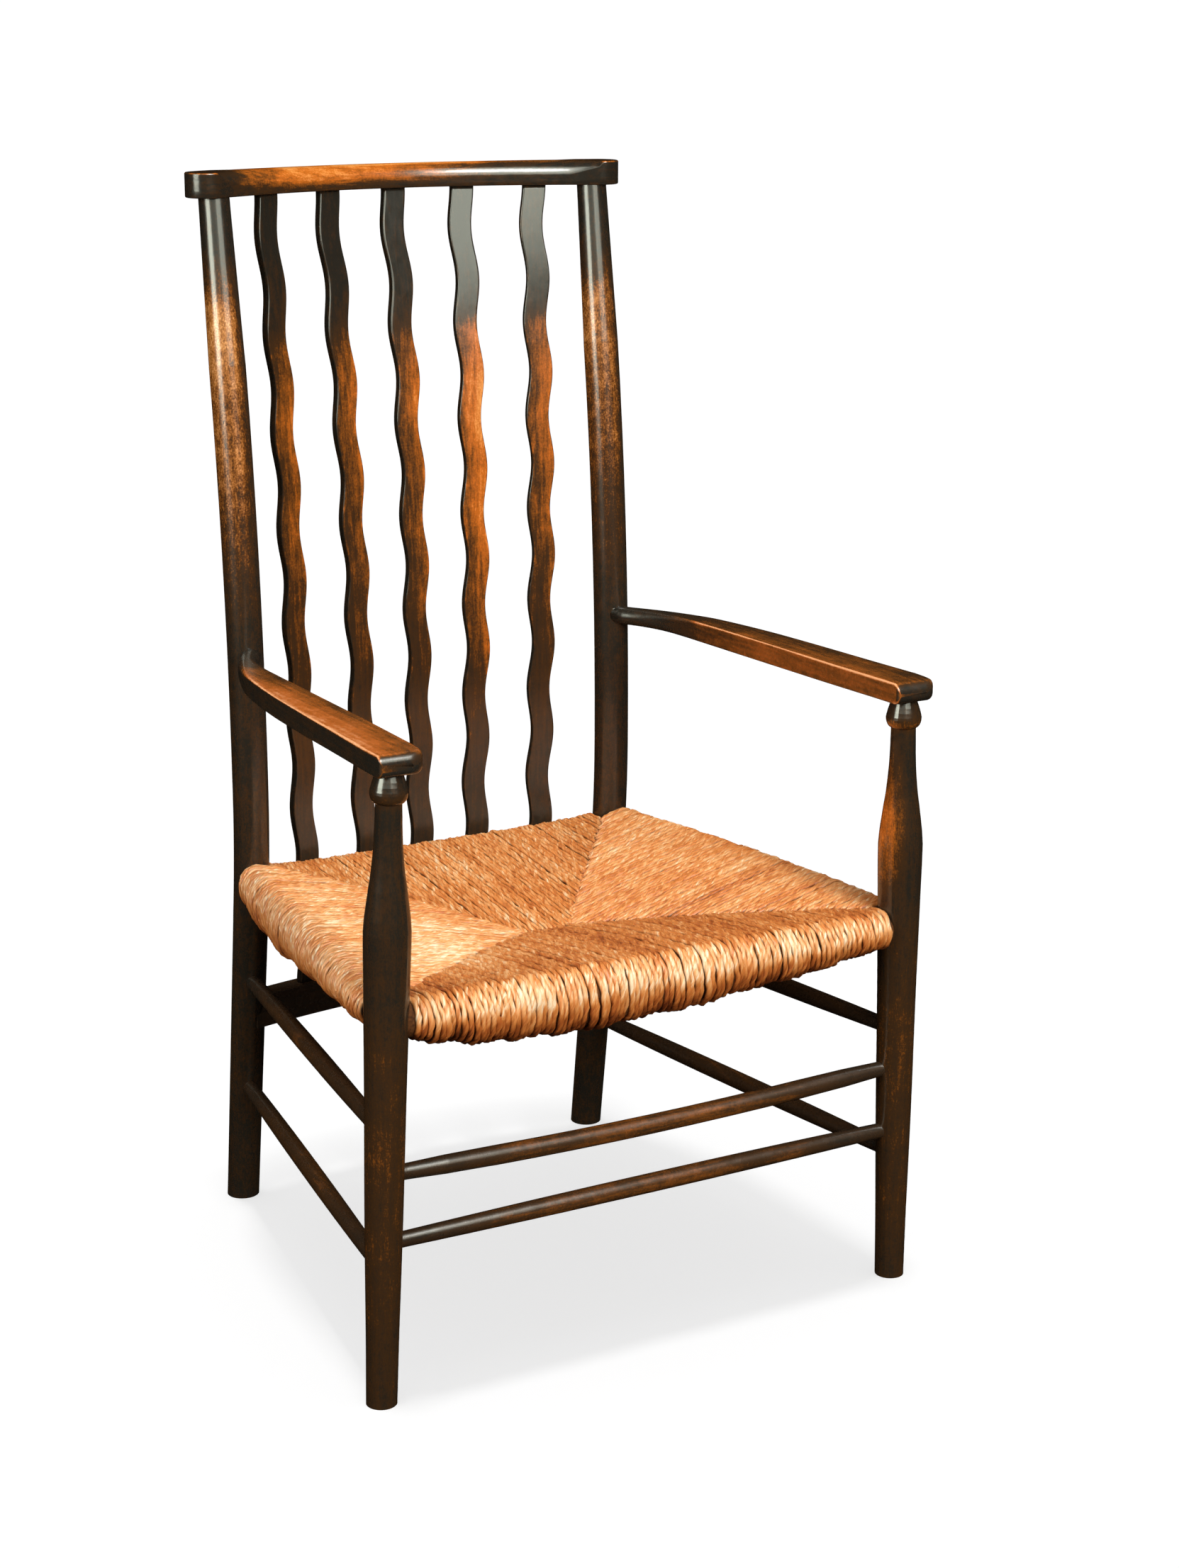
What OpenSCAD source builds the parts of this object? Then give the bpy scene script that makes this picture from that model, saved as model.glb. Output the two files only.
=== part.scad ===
// Rush seat armchair: tall bent back posts with a bowed crest rail, waved splats,
// turned front posts that carry the arms, and a seat wound of rush over hidden rails.
// Millimetres, +Z up, floor at z = 0, the chair faces -Y.
// Left and right are those of a person who stands in front and looks at the chair.

/* [Overall] */
// Height of the crest rail above the floor
total_height = 1085; // [900:1:1310]
// Distance between the front post axes at the floor
front_spread = 571.4; // [476:0.2:690]
// Distance between the back post axes
back_spread = 426; // [370:1:512]
// From the front foot axis back to the foremost point of the back post axis
seat_depth = 448.7; // [374:0.1:540]
// Height of the rush over the middle of the side rails
seat_height = 398; // [332:1:440]
// Height of the arm top over the front post
arm_height = 628; // [560:1:750]

/* [Front posts] */
// Inward lean of the front posts in degrees
front_lean_in = 1.228; // [0:0.001:3]
// Forward lean of the front posts in degrees
front_lean_out = 0.871; // [0:0.001:2]
// Radius of the foot at the floor
front_foot_r = 14.6; // [12:0.1:18]
// Radius at the widest place of the post
front_swell_r = 21.7; // [18:0.1:26]
// Radius of the waist under the bead
front_waist_r = 12; // [9.6:0.1:13]
// From the arm's underside down to the widest place of the post
turning_drop = 143; // [118:1:169]
// Radius of the bead under the arm
bead_r = 17.2; // [14.4:0.1:20.6]
// From the arm's underside down to the neck below the bead
bead_drop = 28; // [22:0.5:31]
// Radius of the post where it meets the arm
bead_top_r = 11; // [9.6:0.1:14]

/* [Back posts] */
// Radius of the back post at the floor
back_foot_r = 17; // [15:0.1:20.4]
// Radius of the back post along its bends
back_post_r = 18.3; // [16:0.1:22]
// Radius of the back post under the crest rail
back_top_r = 15.3; // [13:0.1:18.4]
// Height where the post stands upright between its two bends
bend_z = 470; // [392:1:564]
// Length that stands upright between the two bends
upright_run = 10; // [6:1:20]
// Backward rake of the foot in degrees
foot_rake = 7.6; // [0.5:0.1:10]
// Radius of the lower bend
foot_bend_r = 1000; // [800:10:1200]
// Radius of the upper bend
back_bend_r = 3200; // [2670:10:3840]
// Length of the straight top above the upper bend
back_straight = 163; // [136:1:196]

/* [Crest rail] */
// Thickness of the crest rail
crest_thick = 24.5; // [21:0.5:30]
// How far the crest rail bows back between the posts
crest_bow = 50; // [42:1:60]
// From the splats' arc forward to the crest rail's front face
crest_front = 12; // [10:0.5:14]
// From the splats' arc back to the crest rail's back face in the middle
crest_back = 13; // [11:0.5:15.5]
// From the post axis forward to the splats' arc
splat_arc_forward = 6; // [2:0.5:7]
// Radius of the rounded ends
crest_end_r = 20.5; // [18:0.5:24]
// How far the end rounds' centres lie outside the post axes
crest_overhang = 8.5; // [6:0.5:10]
// Radius of the rolled front edge on top
crest_roll_r = 14; // [8:0.5:16]
// From the middle to where the rolled edge ends on the front face
crest_roll_half = 188; // [157:1:200]
// How much further out the rolled edge ends on the top face
crest_roll_flare = 38; // [10:1:45]
// Radius of the rounded back edge on top
crest_back_roll_r = 10; // [4:0.5:10.5]

/* [Splats] */
// Width of a splat
splat_width = 24; // [20:0.5:29]
// Thickness of a splat
splat_thick = 9.5; // [7.5:0.1:11.5]
// How far a splat's edge swings to each side
wave_size = 2.7; // [0:0.1:4]
// Length of one wave
wave_length = 97.8; // [81:0.1:118]
// From the crest rail down to the first swing to the right
wave_start = 93; // [0:1:112]
// Spacing of the inner splats from the middle at the bottom
inner_low = 63.4; // [53:0.1:76]
// Spacing of the inner splats from the middle at the top
inner_high = 76; // [63:0.5:91]
// Spacing of the outer splats from the middle at the bottom
outer_low = 137.3; // [114:0.1:160]
// Spacing of the outer splats from the middle at the top
outer_high = 151.6; // [126:0.1:172]
// Height up to which the splats rise straight
splat_bend_z = 520; // [430:1:624]
// Depth of the splats' tenons
splat_tenon = 12; // [10:0.5:14.5]

/* [Splat rail] */
// Height of the splat rail's underside
splat_rail_z = 204; // [190:1:216]
// Height of the splat rail's section
splat_rail_tall = 34; // [28:0.5:38]
// Depth of the splat rail's section
splat_rail_deep = 24; // [20:0.5:29]
// How far the splat rail bows back between the posts
splat_rail_bow = 25; // [21:0.5:30]
// How far the splat rail's ends sit in front of the post axes
splat_rail_forward = 6; // [5:0.5:7.2]
// Height of the splat rail's tenon
splat_rail_tenon_tall = 22; // [18:1:26]
// Thickness of the splat rail's tenon
splat_rail_tenon_thick = 10; // [8:0.5:12]

/* [Arms] */
// Thickness of the arm
arm_thick = 20.5; // [16:0.5:22]
// Width of the arm over the front post
arm_width = 46; // [42:0.1:57]
// How far the arm reaches in front of the front foot axis
arm_front = 35; // [29:0.5:42]
// How far the arm falls from the front post to the back post
arm_fall = 9; // [0:0.5:12]
// Plan radius of the front outer corner
arm_outer_r = 13; // [11:0.5:18]
// Plan radius of the front inner corner
arm_inner_r = 10; // [8:0.5:12]
// Radius of the rolled front edge on top
arm_roll_r = 7; // [4:0.5:8.4]
// Radius of the arm's long edges
arm_edge_r = 1.8; // [1:0.1:3]
// Radius of the arm's tenons
arm_tenon_r = 9; // [7.5:0.1:9.2]
// Depth of the arm's tenon in the back post
arm_rear_tenon = 14; // [11.5:0.5:16]
// Plan angle at which the arm meets the back post in degrees
arm_turn = 24; // [20:0.5:29]

/* [Stretchers] */
// Height of the upper front stretcher at its ends
front_upper_z = 228; // [200:1:245]
// How far the upper front stretcher sags in the middle
front_upper_sag = 6.5; // [1:0.5:8]
// Height of the lower front stretcher
front_lower_z = 160.6; // [150:0.1:180]
// Height of the upper side stretcher at the front post
side_upper_front_z = 267; // [255:1:310]
// Height of the upper side stretcher at the back post
side_upper_back_z = 258; // [250:1:300]
// Height of the lower side stretchers
side_lower_z = 134.7; // [112:0.1:141]
// Radius of a stretcher in the middle
stretcher_r = 9.3; // [7.8:0.1:11]
// Radius of a stretcher at the posts
stretcher_end_r = 7.5; // [6.3:0.1:9]
// Depth of the stretchers' tenons
stretcher_tenon = 13; // [10.9:0.1:14.4]

/* [Seat] */
// Radius of the hidden seat rails
rail_r = 13; // [11:0.5:14]
// Radius of the seat rails beside the posts
rail_end_r = 9; // [7.5:0.5:10]
// Radius of the seat rails' tenons
rail_tenon_r = 7; // [5.9:0.1:7.4]
// Depth of the seat rails' tenons
rail_tenon = 10.5; // [8.8:0.1:10.8]
// Height of the side rails at the front, below the seat height
side_rail_front_drop = 17; // [15:1:20]
// Height of the side rails at the back, below the seat height
side_rail_back_drop = 30; // [26:1:34]
// Height of the front rail, below the seat height
front_rail_drop = 22; // [19:1:26]
// Height of the back rail, below the seat height
back_rail_drop = 36; // [32:1:40]
// How far the rush bulges outside the front rail's axis
front_bulge = 24; // [20:0.5:28]
// How far the rush bulges outside the side rails' axes
side_bulge = 22; // [19:0.5:26]
// How far the rush bulges outside the back rail's axis
back_bulge = 18; // [16:0.5:20]
// Length over which the rush swells beside a post
swell_run = 12; // [10:1:16]
// How deep the seat dishes in the middle
dish_depth = 41; // [34:1:46]
// Height of the underside in the middle, below the seat height
under_drop = 62; // [56:1:74]
// Half the length of the seam in the middle
ridge_half = 24; // [20:1:29]
// From the front rail back to the seam in the middle, as a share of the depth
ridge_share = 0.456; // [0.4:0.001:0.55]
// Thickness of the rush over the stuffing
rush_layer = 8; // [6:0.5:9]

/* [Clearances] */
// Gap round a glued tenon
tenon_gap = 0.06; // [0.05:0.01:0.15]
// Gap past a tenon's end
end_gap = 0.5; // [0.3:0.1:1]
// Gap between rush and wood
rush_gap = 0.3; // [0.2:0.05:0.5]
// Gap between a shoulder and the round post it is cut to
cope_gap = 0.1; // [0.05:0.05:0.2]

/* [Hidden] */
round_fn = 64;
bend_fn = 1080;
floor_dip = 4;
crest_z = total_height - crest_thick;
splat_rail_top = splat_rail_z + splat_rail_tall;
splat_rail_mid = splat_rail_z + splat_rail_tall / 2;
front_x = front_spread / 2;
back_x = back_spread / 2;

// Helpers: interpolation, skins and placing along an axis

function mix(a, b, t) = a + (b - a) * t;
function span(t, x, i = 0) = i >= len(t) - 2 || x < t[i + 1][0] ? i : span(t, x, i + 1);
function rise(t, i, j) = (t[j][1] - t[i][1]) / (t[j][0] - t[i][0]);
function slope(t, i) = rise(t, max(0, i - 1), min(len(t) - 1, i + 1));
function smooth(t, x) =
    let (i = span(t, x), h = t[i + 1][0] - t[i][0])
    let (u = min(1, max(0, (x - t[i][0]) / h)))
    let (a = (1 + 2 * u) * (1 - u) * (1 - u), b = u * (1 - u) * (1 - u))
    let (c = u * u * (3 - 2 * u), d = u * u * (u - 1))
    a * t[i][1] + b * h * slope(t, i) + c * t[i + 1][1] + d * h * slope(t, i + 1);

function flip(p) = [-p[0], p[1], p[2]];
function unit(v) = v / norm(v);
function on_line(a, b, d) = a + unit(b - a) * d;

module along(a, b) {
    v = b - a;
    translate(a) rotate([0, acos(v[2] / norm(v)), atan2(v[1], v[0])]) children();
}

module rod(a, b, r, from, to) {
    along(a, b) translate([0, 0, from]) cylinder(r = r, h = to - from, $fn = round_fn);
}

module sided(left) {
    if (left) mirror([1, 0, 0]) children();
    else children();
}

// Closes a row of rings; each ring runs anticlockwise seen from the first end
module skin(rings) {
    n = len(rings[0]);
    m = len(rings);
    points = [for (ring = rings) each ring];
    walls = [for (k = [0 : m - 2]) for (j = [0 : n - 1])
        let (a = k * n + j, b = k * n + (j + 1) % n)
        each [[a, b, b + n], [a, b + n, a + n]]];
    first = [for (j = [n - 1 : -1 : 0]) j];
    last = [for (j = [0 : n - 1]) (m - 1) * n + j];
    polyhedron(points = points, faces = concat(walls, [first], [last]), convexity = 6);
}

// Post axes

function front_axis(z) = [front_x - z * tan(front_lean_in), -z * tan(front_lean_out), z];

low_bend_z = bend_z - upright_run / 2;
high_bend_z = bend_z + upright_run / 2;
foot_top_z = low_bend_z - foot_bend_r * sin(foot_rake);
foot_top_y = seat_depth + foot_bend_r * (1 - cos(foot_rake));
lean_z = crest_z - back_straight;
back_lean = asin((lean_z - high_bend_z) / back_bend_r);
lean_y = seat_depth + back_bend_r * (1 - cos(back_lean));

function bend_y(r, dz) = seat_depth + r - sqrt(r * r - dz * dz);
function back_y(z) =
    z < foot_top_z ? foot_top_y + (foot_top_z - z) * tan(foot_rake) :
    z < low_bend_z ? bend_y(foot_bend_r, low_bend_z - z) :
    z < high_bend_z ? seat_depth :
    z < lean_z ? bend_y(back_bend_r, z - high_bend_z) :
    lean_y + (z - lean_z) * tan(back_lean);
function back_axis(z) = [back_x, back_y(z), z];

// Arm heights, needed by the front post

arm_joint_y = front_axis(arm_height)[1];
arm_rear_y = back_y(arm_height - arm_fall) - back_post_r;
arm_slope = atan(arm_fall / (arm_rear_y - arm_joint_y));
function arm_top(y) = arm_height - (y - arm_joint_y) * tan(arm_slope);
arm_under_z = arm_height - arm_thick;

// Front post: radii by height, from the foot to the waist, then the bead

swell_z = arm_under_z - turning_drop;
neck_z = arm_under_z - bead_drop;
front_radii = [
    [0, front_foot_r],
    [0.145 * swell_z, mix(front_foot_r, front_swell_r, 0.12)],
    [0.26 * swell_z, mix(front_foot_r, front_swell_r, 0.27)],
    [0.41 * swell_z, mix(front_foot_r, front_swell_r, 0.45)],
    [0.665 * swell_z, mix(front_foot_r, front_swell_r, 0.65)],
    [0.88 * swell_z, mix(front_foot_r, front_swell_r, 0.89)],
    [swell_z, front_swell_r],
    [swell_z + 0.09 * turning_drop, mix(front_swell_r, front_waist_r, 0.14)],
    [swell_z + 0.24 * turning_drop, mix(front_swell_r, front_waist_r, 0.42)],
    [swell_z + 0.36 * turning_drop, mix(front_swell_r, front_waist_r, 0.67)],
    [swell_z + 0.56 * turning_drop, mix(front_swell_r, front_waist_r, 0.91)],
    [neck_z, front_waist_r]
];
function front_r(z) = smooth(front_radii, z);

post_steps = 44;
bead_wide_z = neck_z + bead_drop * 0.34;
function front_outline(grow) = concat(
    [[0, -floor_dip], [front_foot_r + grow, -floor_dip]],
    [for (i = [0 : post_steps])
        let (z = neck_z * i / post_steps) [front_r(z) + grow, z]],
    [for (a = [15 : 15 : 90]) [
        mix(front_waist_r, bead_r, sin(a)) + grow,
        mix(neck_z, bead_wide_z, 1 - cos(a))]],
    [for (t = [0.12 : 0.22 : 1]) [
        bead_r - (bead_r - bead_top_r) * pow(t, 1.25) + grow,
        mix(bead_wide_z, arm_under_z + 2, t)]],
    [[0, arm_under_z + 2]]
);

module front_post_body(grow = 0) {
    along(front_axis(0), front_axis(arm_height))
        rotate_extrude($fn = round_fn) polygon(front_outline(grow));
}

// Back post: straight foot, two bends and a straight top

module bend(r, z, from, to, tube) {
    translate([back_x, seat_depth + r, z]) rotate([90, 0, -90]) rotate([0, 0, from])
        rotate_extrude(angle = to - from, $fn = bend_fn)
            translate([r, 0]) circle(r = tube, $fn = round_fn);
}

module taper(a, b, r1, r2) {
    along(a, b) cylinder(r1 = r1, r2 = r2, h = norm(b - a), $fn = round_fn);
}

foot_end = back_axis(-floor_dip);
foot_top = back_axis(foot_top_z);
lean_start = back_axis(lean_z);
lean_end = back_axis(crest_z + 6);

// The straight lengths run a little way into the bends, a hair thinner than them
scarf = 1;
hair = 0.02;
module back_post_body() {
    taper(foot_end, on_line(foot_top, foot_end, -scarf), back_foot_r, back_post_r - hair);
    bend(foot_bend_r, low_bend_z, -foot_rake, 0, back_post_r);
    taper(back_axis(low_bend_z) - [0, 0, scarf], back_axis(high_bend_z) + [0, 0, scarf],
        back_post_r - hair, back_post_r - hair);
    bend(back_bend_r, high_bend_z, 0, back_lean, back_post_r);
    taper(on_line(lean_start, lean_end, -scarf), lean_end, back_post_r - hair, back_top_r);
}

// A short straight stand-in for the back post round one height
module back_post_near(z, r, half) {
    rod(back_axis(z - 1), back_axis(z + 1), r, 1 - half, 1 + half);
}

function back_r(z) = z < foot_top_z ? mix(back_foot_r, back_post_r, z / foot_top_z) : back_post_r;

// The same where the foot tapers
module back_foot_near(z, grow, half) {
    along(back_axis(z - 1), back_axis(z + 1)) translate([0, 0, 1 - half])
        cylinder(r1 = back_r(z - half) + grow, r2 = back_r(z + half) + grow, h = 2 * half, $fn = round_fn);
}

crest_tenon_r = 10;
crest_tenon = crest_thick * 0.7;

// Where each rail and stretcher runs, from post axis to post axis

side_rail_a = front_axis(seat_height - side_rail_front_drop);
side_rail_b = back_axis(seat_height - side_rail_back_drop);
front_rail_b = front_axis(seat_height - front_rail_drop);
back_rail_b = back_axis(seat_height - back_rail_drop);
side_upper_a = front_axis(side_upper_front_z);
side_upper_b = back_axis(side_upper_back_z);
side_lower_a = front_axis(side_lower_z);
side_lower_b = back_axis(side_lower_z);
front_lower_b = front_axis(front_lower_z);
front_upper_b = front_axis(front_upper_z);

// The upper front stretcher: straight tapered ends on a bowed middle
bow_half = front_upper_b[0] * 0.6;
bow_angle = atan(front_upper_sag / (front_upper_b[0] - bow_half / 2));
bow_r = bow_half / sin(bow_angle);
bow_end = [bow_half, front_upper_b[1],
    front_upper_z - (front_upper_b[0] - bow_half) * tan(bow_angle)];

module tenon_hole(a, b, r, post_r, depth) {
    rod(a, b, r + tenon_gap, post_r - depth - end_gap, post_r + 60);
}

module stretcher_hole(a, b, post_r) {
    tenon_hole(a, b, stretcher_end_r, post_r, stretcher_tenon);
}

module rail_hole(a, b, post_r) {
    tenon_hole(a, b, rail_tenon_r, post_r, rail_tenon);
}

module below_floor() {
    translate([-2 * front_x, -seat_depth, -100])
        cube([4 * front_x, 3 * seat_depth, 100]);
}

// Everything above the arm's underside plane
module above_arm_under() {
    translate([0, arm_joint_y, arm_under_z]) rotate([-arm_slope, 0, 0])
        translate([0, -60, 0]) cube([2 * front_x, 120, 60]);
}

module front_post() {
    difference() {
        union() {
            difference() {
                front_post_body();
                above_arm_under();
            }
            rod(front_axis(arm_under_z), front_axis(arm_height), arm_tenon_r, -6, arm_thick * 0.68);
        }
        below_floor();
        stretcher_hole(front_upper_b, bow_end, front_r(front_upper_z));
        stretcher_hole(front_lower_b, flip(front_lower_b), front_r(front_lower_z));
        stretcher_hole(side_upper_a, side_upper_b, front_r(side_upper_front_z));
        stretcher_hole(side_lower_a, side_lower_b, front_r(side_lower_z));
        rail_hole(side_rail_a, side_rail_b, front_r(side_rail_a[2]));
        rail_hole(front_rail_b, flip(front_rail_b), front_r(front_rail_b[2]));
    }
}

// Arm joint with the back post
arm_rear_z = arm_top(arm_rear_y) - arm_thick / 2;
arm_entry = [back_x + 1.5, back_y(arm_rear_z) - back_post_r, arm_rear_z];
arm_inner = arm_entry + 40 * [-sin(arm_turn), cos(arm_turn), 0];

rail_tenon_in = 13;
module splat_rail_tenon(grow, deeper) {
    y = back_y(splat_rail_mid) - splat_rail_forward;
    tall = splat_rail_tenon_tall + 2 * grow;
    thick = splat_rail_tenon_thick + 2 * grow;
    translate([back_x - back_post_r - 6, y - thick / 2, splat_rail_mid - tall / 2])
        cube([6 + rail_tenon_in + deeper, thick, tall]);
}

module back_post() {
    difference() {
        union() {
            difference() {
                back_post_body();
                translate([0, seat_depth - 60, crest_z]) cube([2 * back_x, 300, 80]);
            }
            rod(back_axis(crest_z), back_axis(crest_z + 10), crest_tenon_r, -8, crest_tenon);
        }
        below_floor();
        stretcher_hole(side_upper_b, side_upper_a, back_r(side_upper_back_z));
        stretcher_hole(side_lower_b, side_lower_a, back_r(side_lower_z));
        rail_hole(side_rail_b, side_rail_a, back_post_r);
        rail_hole(back_rail_b, flip(back_rail_b), back_post_r);
        rod(arm_entry, arm_inner, arm_tenon_r + tenon_gap, -30, arm_rear_tenon + end_gap);
        splat_rail_tenon(tenon_gap, end_gap);
    }
}

// Crest rail in plan: an arc for the splats, a front arc, rounded ends and a back arc

crest_post_y = back_y(crest_z);
crest_end_y = crest_post_y - splat_arc_forward;
splat_arc_r = (back_x * back_x + crest_bow * crest_bow) / (2 * crest_bow);
splat_arc_y = crest_end_y + crest_bow - splat_arc_r;
front_arc_r = splat_arc_r - crest_front;
crest_tip_x = back_x + crest_overhang;
crest_tip_y = splat_arc_y + sqrt(pow(front_arc_r + crest_end_r, 2) - crest_tip_x * crest_tip_x);
crest_back_y = splat_arc_y + splat_arc_r + crest_back;
back_arc_drop = crest_back_y - crest_tip_y;
back_arc_r = (crest_tip_x * crest_tip_x + back_arc_drop * back_arc_drop - crest_end_r * crest_end_r)
    / (2 * (back_arc_drop - crest_end_r));
back_arc_y = crest_back_y - back_arc_r;

function toward(p, q, d) = p + (q - p) * d / norm(q - p);
crest_tip = [crest_tip_x, crest_tip_y];
front_touch = toward(crest_tip, [0, splat_arc_y], crest_end_r);
back_touch = toward(crest_tip, [0, back_arc_y], -crest_end_r);

module upright(p, r, h = crest_thick) {
    translate([p[0], p[1], crest_z]) cylinder(r = r, h = h, $fn = bend_fn);
}

module crest_blank() {
    intersection() {
        difference() {
            upright([0, back_arc_y], back_arc_r);
            translate([0, 0, -5]) upright([0, splat_arc_y], front_arc_r, crest_thick + 10);
        }
        translate([0, 0, crest_z]) linear_extrude(crest_thick) polygon([
            [-front_touch[0], front_touch[1]], front_touch, back_touch,
            [back_touch[0] * 0.8, crest_back_y + 60], [-back_touch[0] * 0.8, crest_back_y + 60],
            [-back_touch[0], back_touch[1]]]);
    }
    for (s = [-1, 1]) translate([s * crest_tip_x, crest_tip_y, crest_z])
        cylinder(r = crest_end_r, h = crest_thick, $fn = round_fn);
}

// What the rolled front edge takes away, ending on a slant near each post
module crest_roll() {
    half = asin(min(0.95, (crest_roll_half + crest_roll_flare + 10) / front_arc_r));
    outer = crest_roll_half + crest_roll_flare;
    front_y = arc_y(crest_roll_half, front_arc_r, splat_arc_y);
    top_y = arc_y(outer, front_arc_r + crest_roll_r, splat_arc_y);
    intersection() {
        translate([0, splat_arc_y, 0]) rotate([0, 0, 90 - half])
            rotate_extrude(angle = 2 * half, $fn = bend_fn) difference() {
                translate([front_arc_r - 5, total_height - crest_roll_r])
                    square([5 + crest_roll_r, crest_roll_r + 5]);
                translate([front_arc_r + crest_roll_r, total_height - crest_roll_r])
                    circle(r = crest_roll_r, $fn = round_fn);
            }
        translate([0, 0, crest_z]) linear_extrude(crest_thick + 10) polygon([
            [-crest_roll_half, front_y], [crest_roll_half, front_y], [outer, top_y],
            [outer, crest_back_y], [-outer, crest_back_y], [-outer, top_y]]);
    }
}

// What the rounded back edge takes away between the posts
module crest_back_roll() {
    outer = crest_roll_half + crest_roll_flare / 2;
    half = asin(min(0.95, (outer + 10) / back_arc_r));
    inner_r = back_arc_r - crest_back_roll_r;
    intersection() {
        translate([0, back_arc_y, 0]) rotate([0, 0, 90 - half])
            rotate_extrude(angle = 2 * half, $fn = bend_fn) difference() {
                translate([inner_r, total_height - crest_back_roll_r])
                    square([crest_back_roll_r + 5, crest_back_roll_r + 5]);
                translate([inner_r, total_height - crest_back_roll_r])
                    circle(r = crest_back_roll_r, $fn = round_fn);
            }
        translate([-outer, crest_post_y - 20, crest_z])
            cube([2 * outer, crest_bow + 120, crest_thick + 10]);
    }
}

// Splats: place at the bottom and top, with a wave along both edges

function arc_y(x, r, cy) = cy + sqrt(r * r - x * x);
low_end_y = back_y(splat_rail_mid) - splat_rail_forward;
low_arc_r = (back_x * back_x + splat_rail_bow * splat_rail_bow) / (2 * splat_rail_bow);
low_arc_y = low_end_y + splat_rail_bow - low_arc_r;

low_x = [-outer_low, -inner_low, 0, inner_low, outer_low];
high_x = [-outer_high, -inner_high, 0, inner_high, outer_high];

function share(z) = (z - splat_rail_top) / (crest_z - splat_rail_top);
function splat_x(i, z) = mix(low_x[i], high_x[i], share(z));
function splat_turn(i, z) = mix(
    asin(low_x[i] / low_arc_r), asin(high_x[i] / splat_arc_r), share(z));
function splat_y(i, z) =
    let (a = arc_y(low_x[i], low_arc_r, low_arc_y))
    let (b = arc_y(high_x[i], splat_arc_r, splat_arc_y))
    mix(a, b, pow(max(0, (z - splat_bend_z) / (crest_z - splat_bend_z)), 2));
function wave(z) = wave_size * cos(360 * (crest_z - wave_start - z) / wave_length);

function splat_ring(i, z, w, t, sway) =
    let (a = -splat_turn(i, z), c = [splat_x(i, z), splat_y(i, z)])
    [for (k = [[-1, -1], [1, -1], [1, 1], [-1, 1]])
        let (u = k[0] * w / 2 + sway, v = k[1] * t / 2)
        [c[0] + u * cos(a) - v * sin(a), c[1] + u * sin(a) + v * cos(a), z]];

tenon_width = splat_width - 5;
tenon_thick = splat_thick - 2;
splat_steps = ceil((crest_z - splat_rail_top) / (wave_length / 8));

function tenon_ring(i, z, at) =
    [for (p = splat_ring(i, at, tenon_width, tenon_thick, 0)) [p[0], p[1], z]];

module splat(i) {
    skin(concat(
        [tenon_ring(i, crest_z + splat_tenon, crest_z), tenon_ring(i, crest_z, crest_z)],
        [for (k = [0 : splat_steps])
            let (z = mix(crest_z, splat_rail_top, k / splat_steps))
            splat_ring(i, z, splat_width, splat_thick, wave(z))],
        [tenon_ring(i, splat_rail_top, splat_rail_top),
            tenon_ring(i, splat_rail_top - splat_tenon, splat_rail_top)]
    ));
}

module splat_slots(z, low, high) {
    for (i = [0 : 4]) translate([splat_x(i, z), splat_y(i, z), low])
        rotate([0, 0, -splat_turn(i, z)])
            translate([-tenon_width / 2 - tenon_gap, -tenon_thick / 2 - tenon_gap, 0])
                cube([tenon_width + 2 * tenon_gap, tenon_thick + 2 * tenon_gap, high - low]);
}

module crest_rail() {
    difference() {
        crest_blank();
        crest_roll();
        crest_back_roll();
        splat_slots(crest_z, crest_z - 5, crest_z + splat_tenon + end_gap);
        for (s = [false, true]) sided(s)
            rod(back_axis(crest_z), back_axis(crest_z + 10), crest_tenon_r + tenon_gap,
                -10, crest_tenon + end_gap);
    }
}

module splat_rail() {
    half = asin(back_x / low_arc_r);
    difference() {
        translate([0, low_arc_y, splat_rail_z]) rotate([0, 0, 90 - half])
            rotate_extrude(angle = 2 * half, $fn = bend_fn)
                translate([low_arc_r - splat_rail_deep / 2, 0])
                    square([splat_rail_deep, splat_rail_tall]);
        for (s = [false, true]) sided(s)
            back_foot_near(splat_rail_mid, cope_gap, 40);
        splat_slots(splat_rail_top, splat_rail_top - splat_tenon - end_gap, splat_rail_top + 5);
    }
    for (s = [false, true]) sided(s) splat_rail_tenon(0, 0);
}

// Arms: rings of rounded rectangles from the front end to the back post

arm_inward = [
    [0, 0.03], [0.2, 0.10], [0.38, 0.15], [0.56, 0.215], [0.74, 0.33],
    [0.82, 0.44], [0.88, 0.56], [0.93, 0.71], [0.97, 0.865], [1, 1]
];
arm_taper = [
    [0, 1], [0.2, 0.926], [0.38, 0.846], [0.56, 0.767], [0.74, 0.64],
    [0.82, 0.55], [0.88, 0.47], [0.95, 0.41], [1, 0.39]
];
arm_rounding = [[0, 0], [0.72, 0], [0.97, 1], [1, 1]];
arm_end_r = arm_tenon_r + 0.6;

arm_x0 = front_axis(arm_height)[0];
function arm_y(v) = mix(arm_joint_y, arm_entry[1], v);
function arm_x(v) = mix(arm_x0, arm_entry[0], smooth(arm_inward, v));
function arm_angle(v) = v <= 0 ? 0 : atan2(arm_x(v - 0.01) - arm_x(min(1, v + 0.01)),
    arm_y(min(1, v + 0.01)) - arm_y(v - 0.01));

function round_rect(x0, x1, z0, z1, r) =
    [for (q = [0 : 3]) for (a = [11.25 : 22.5 : 80])
        let (t = q * 90 + a, right = q == 0 || q == 3, top = q < 2)
        [(right ? x1 - r : x0 + r) + r * cos(t), (top ? z1 - r : z0 + r) + r * sin(t)]];

function arm_ring(c, turn, x0, x1, z0, z1, r) =
    [for (p = round_rect(x0, x1, z0, z1, r))
        [c[0] + p[0] * cos(turn), c[1] + p[0] * sin(turn), p[1]]];

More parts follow.
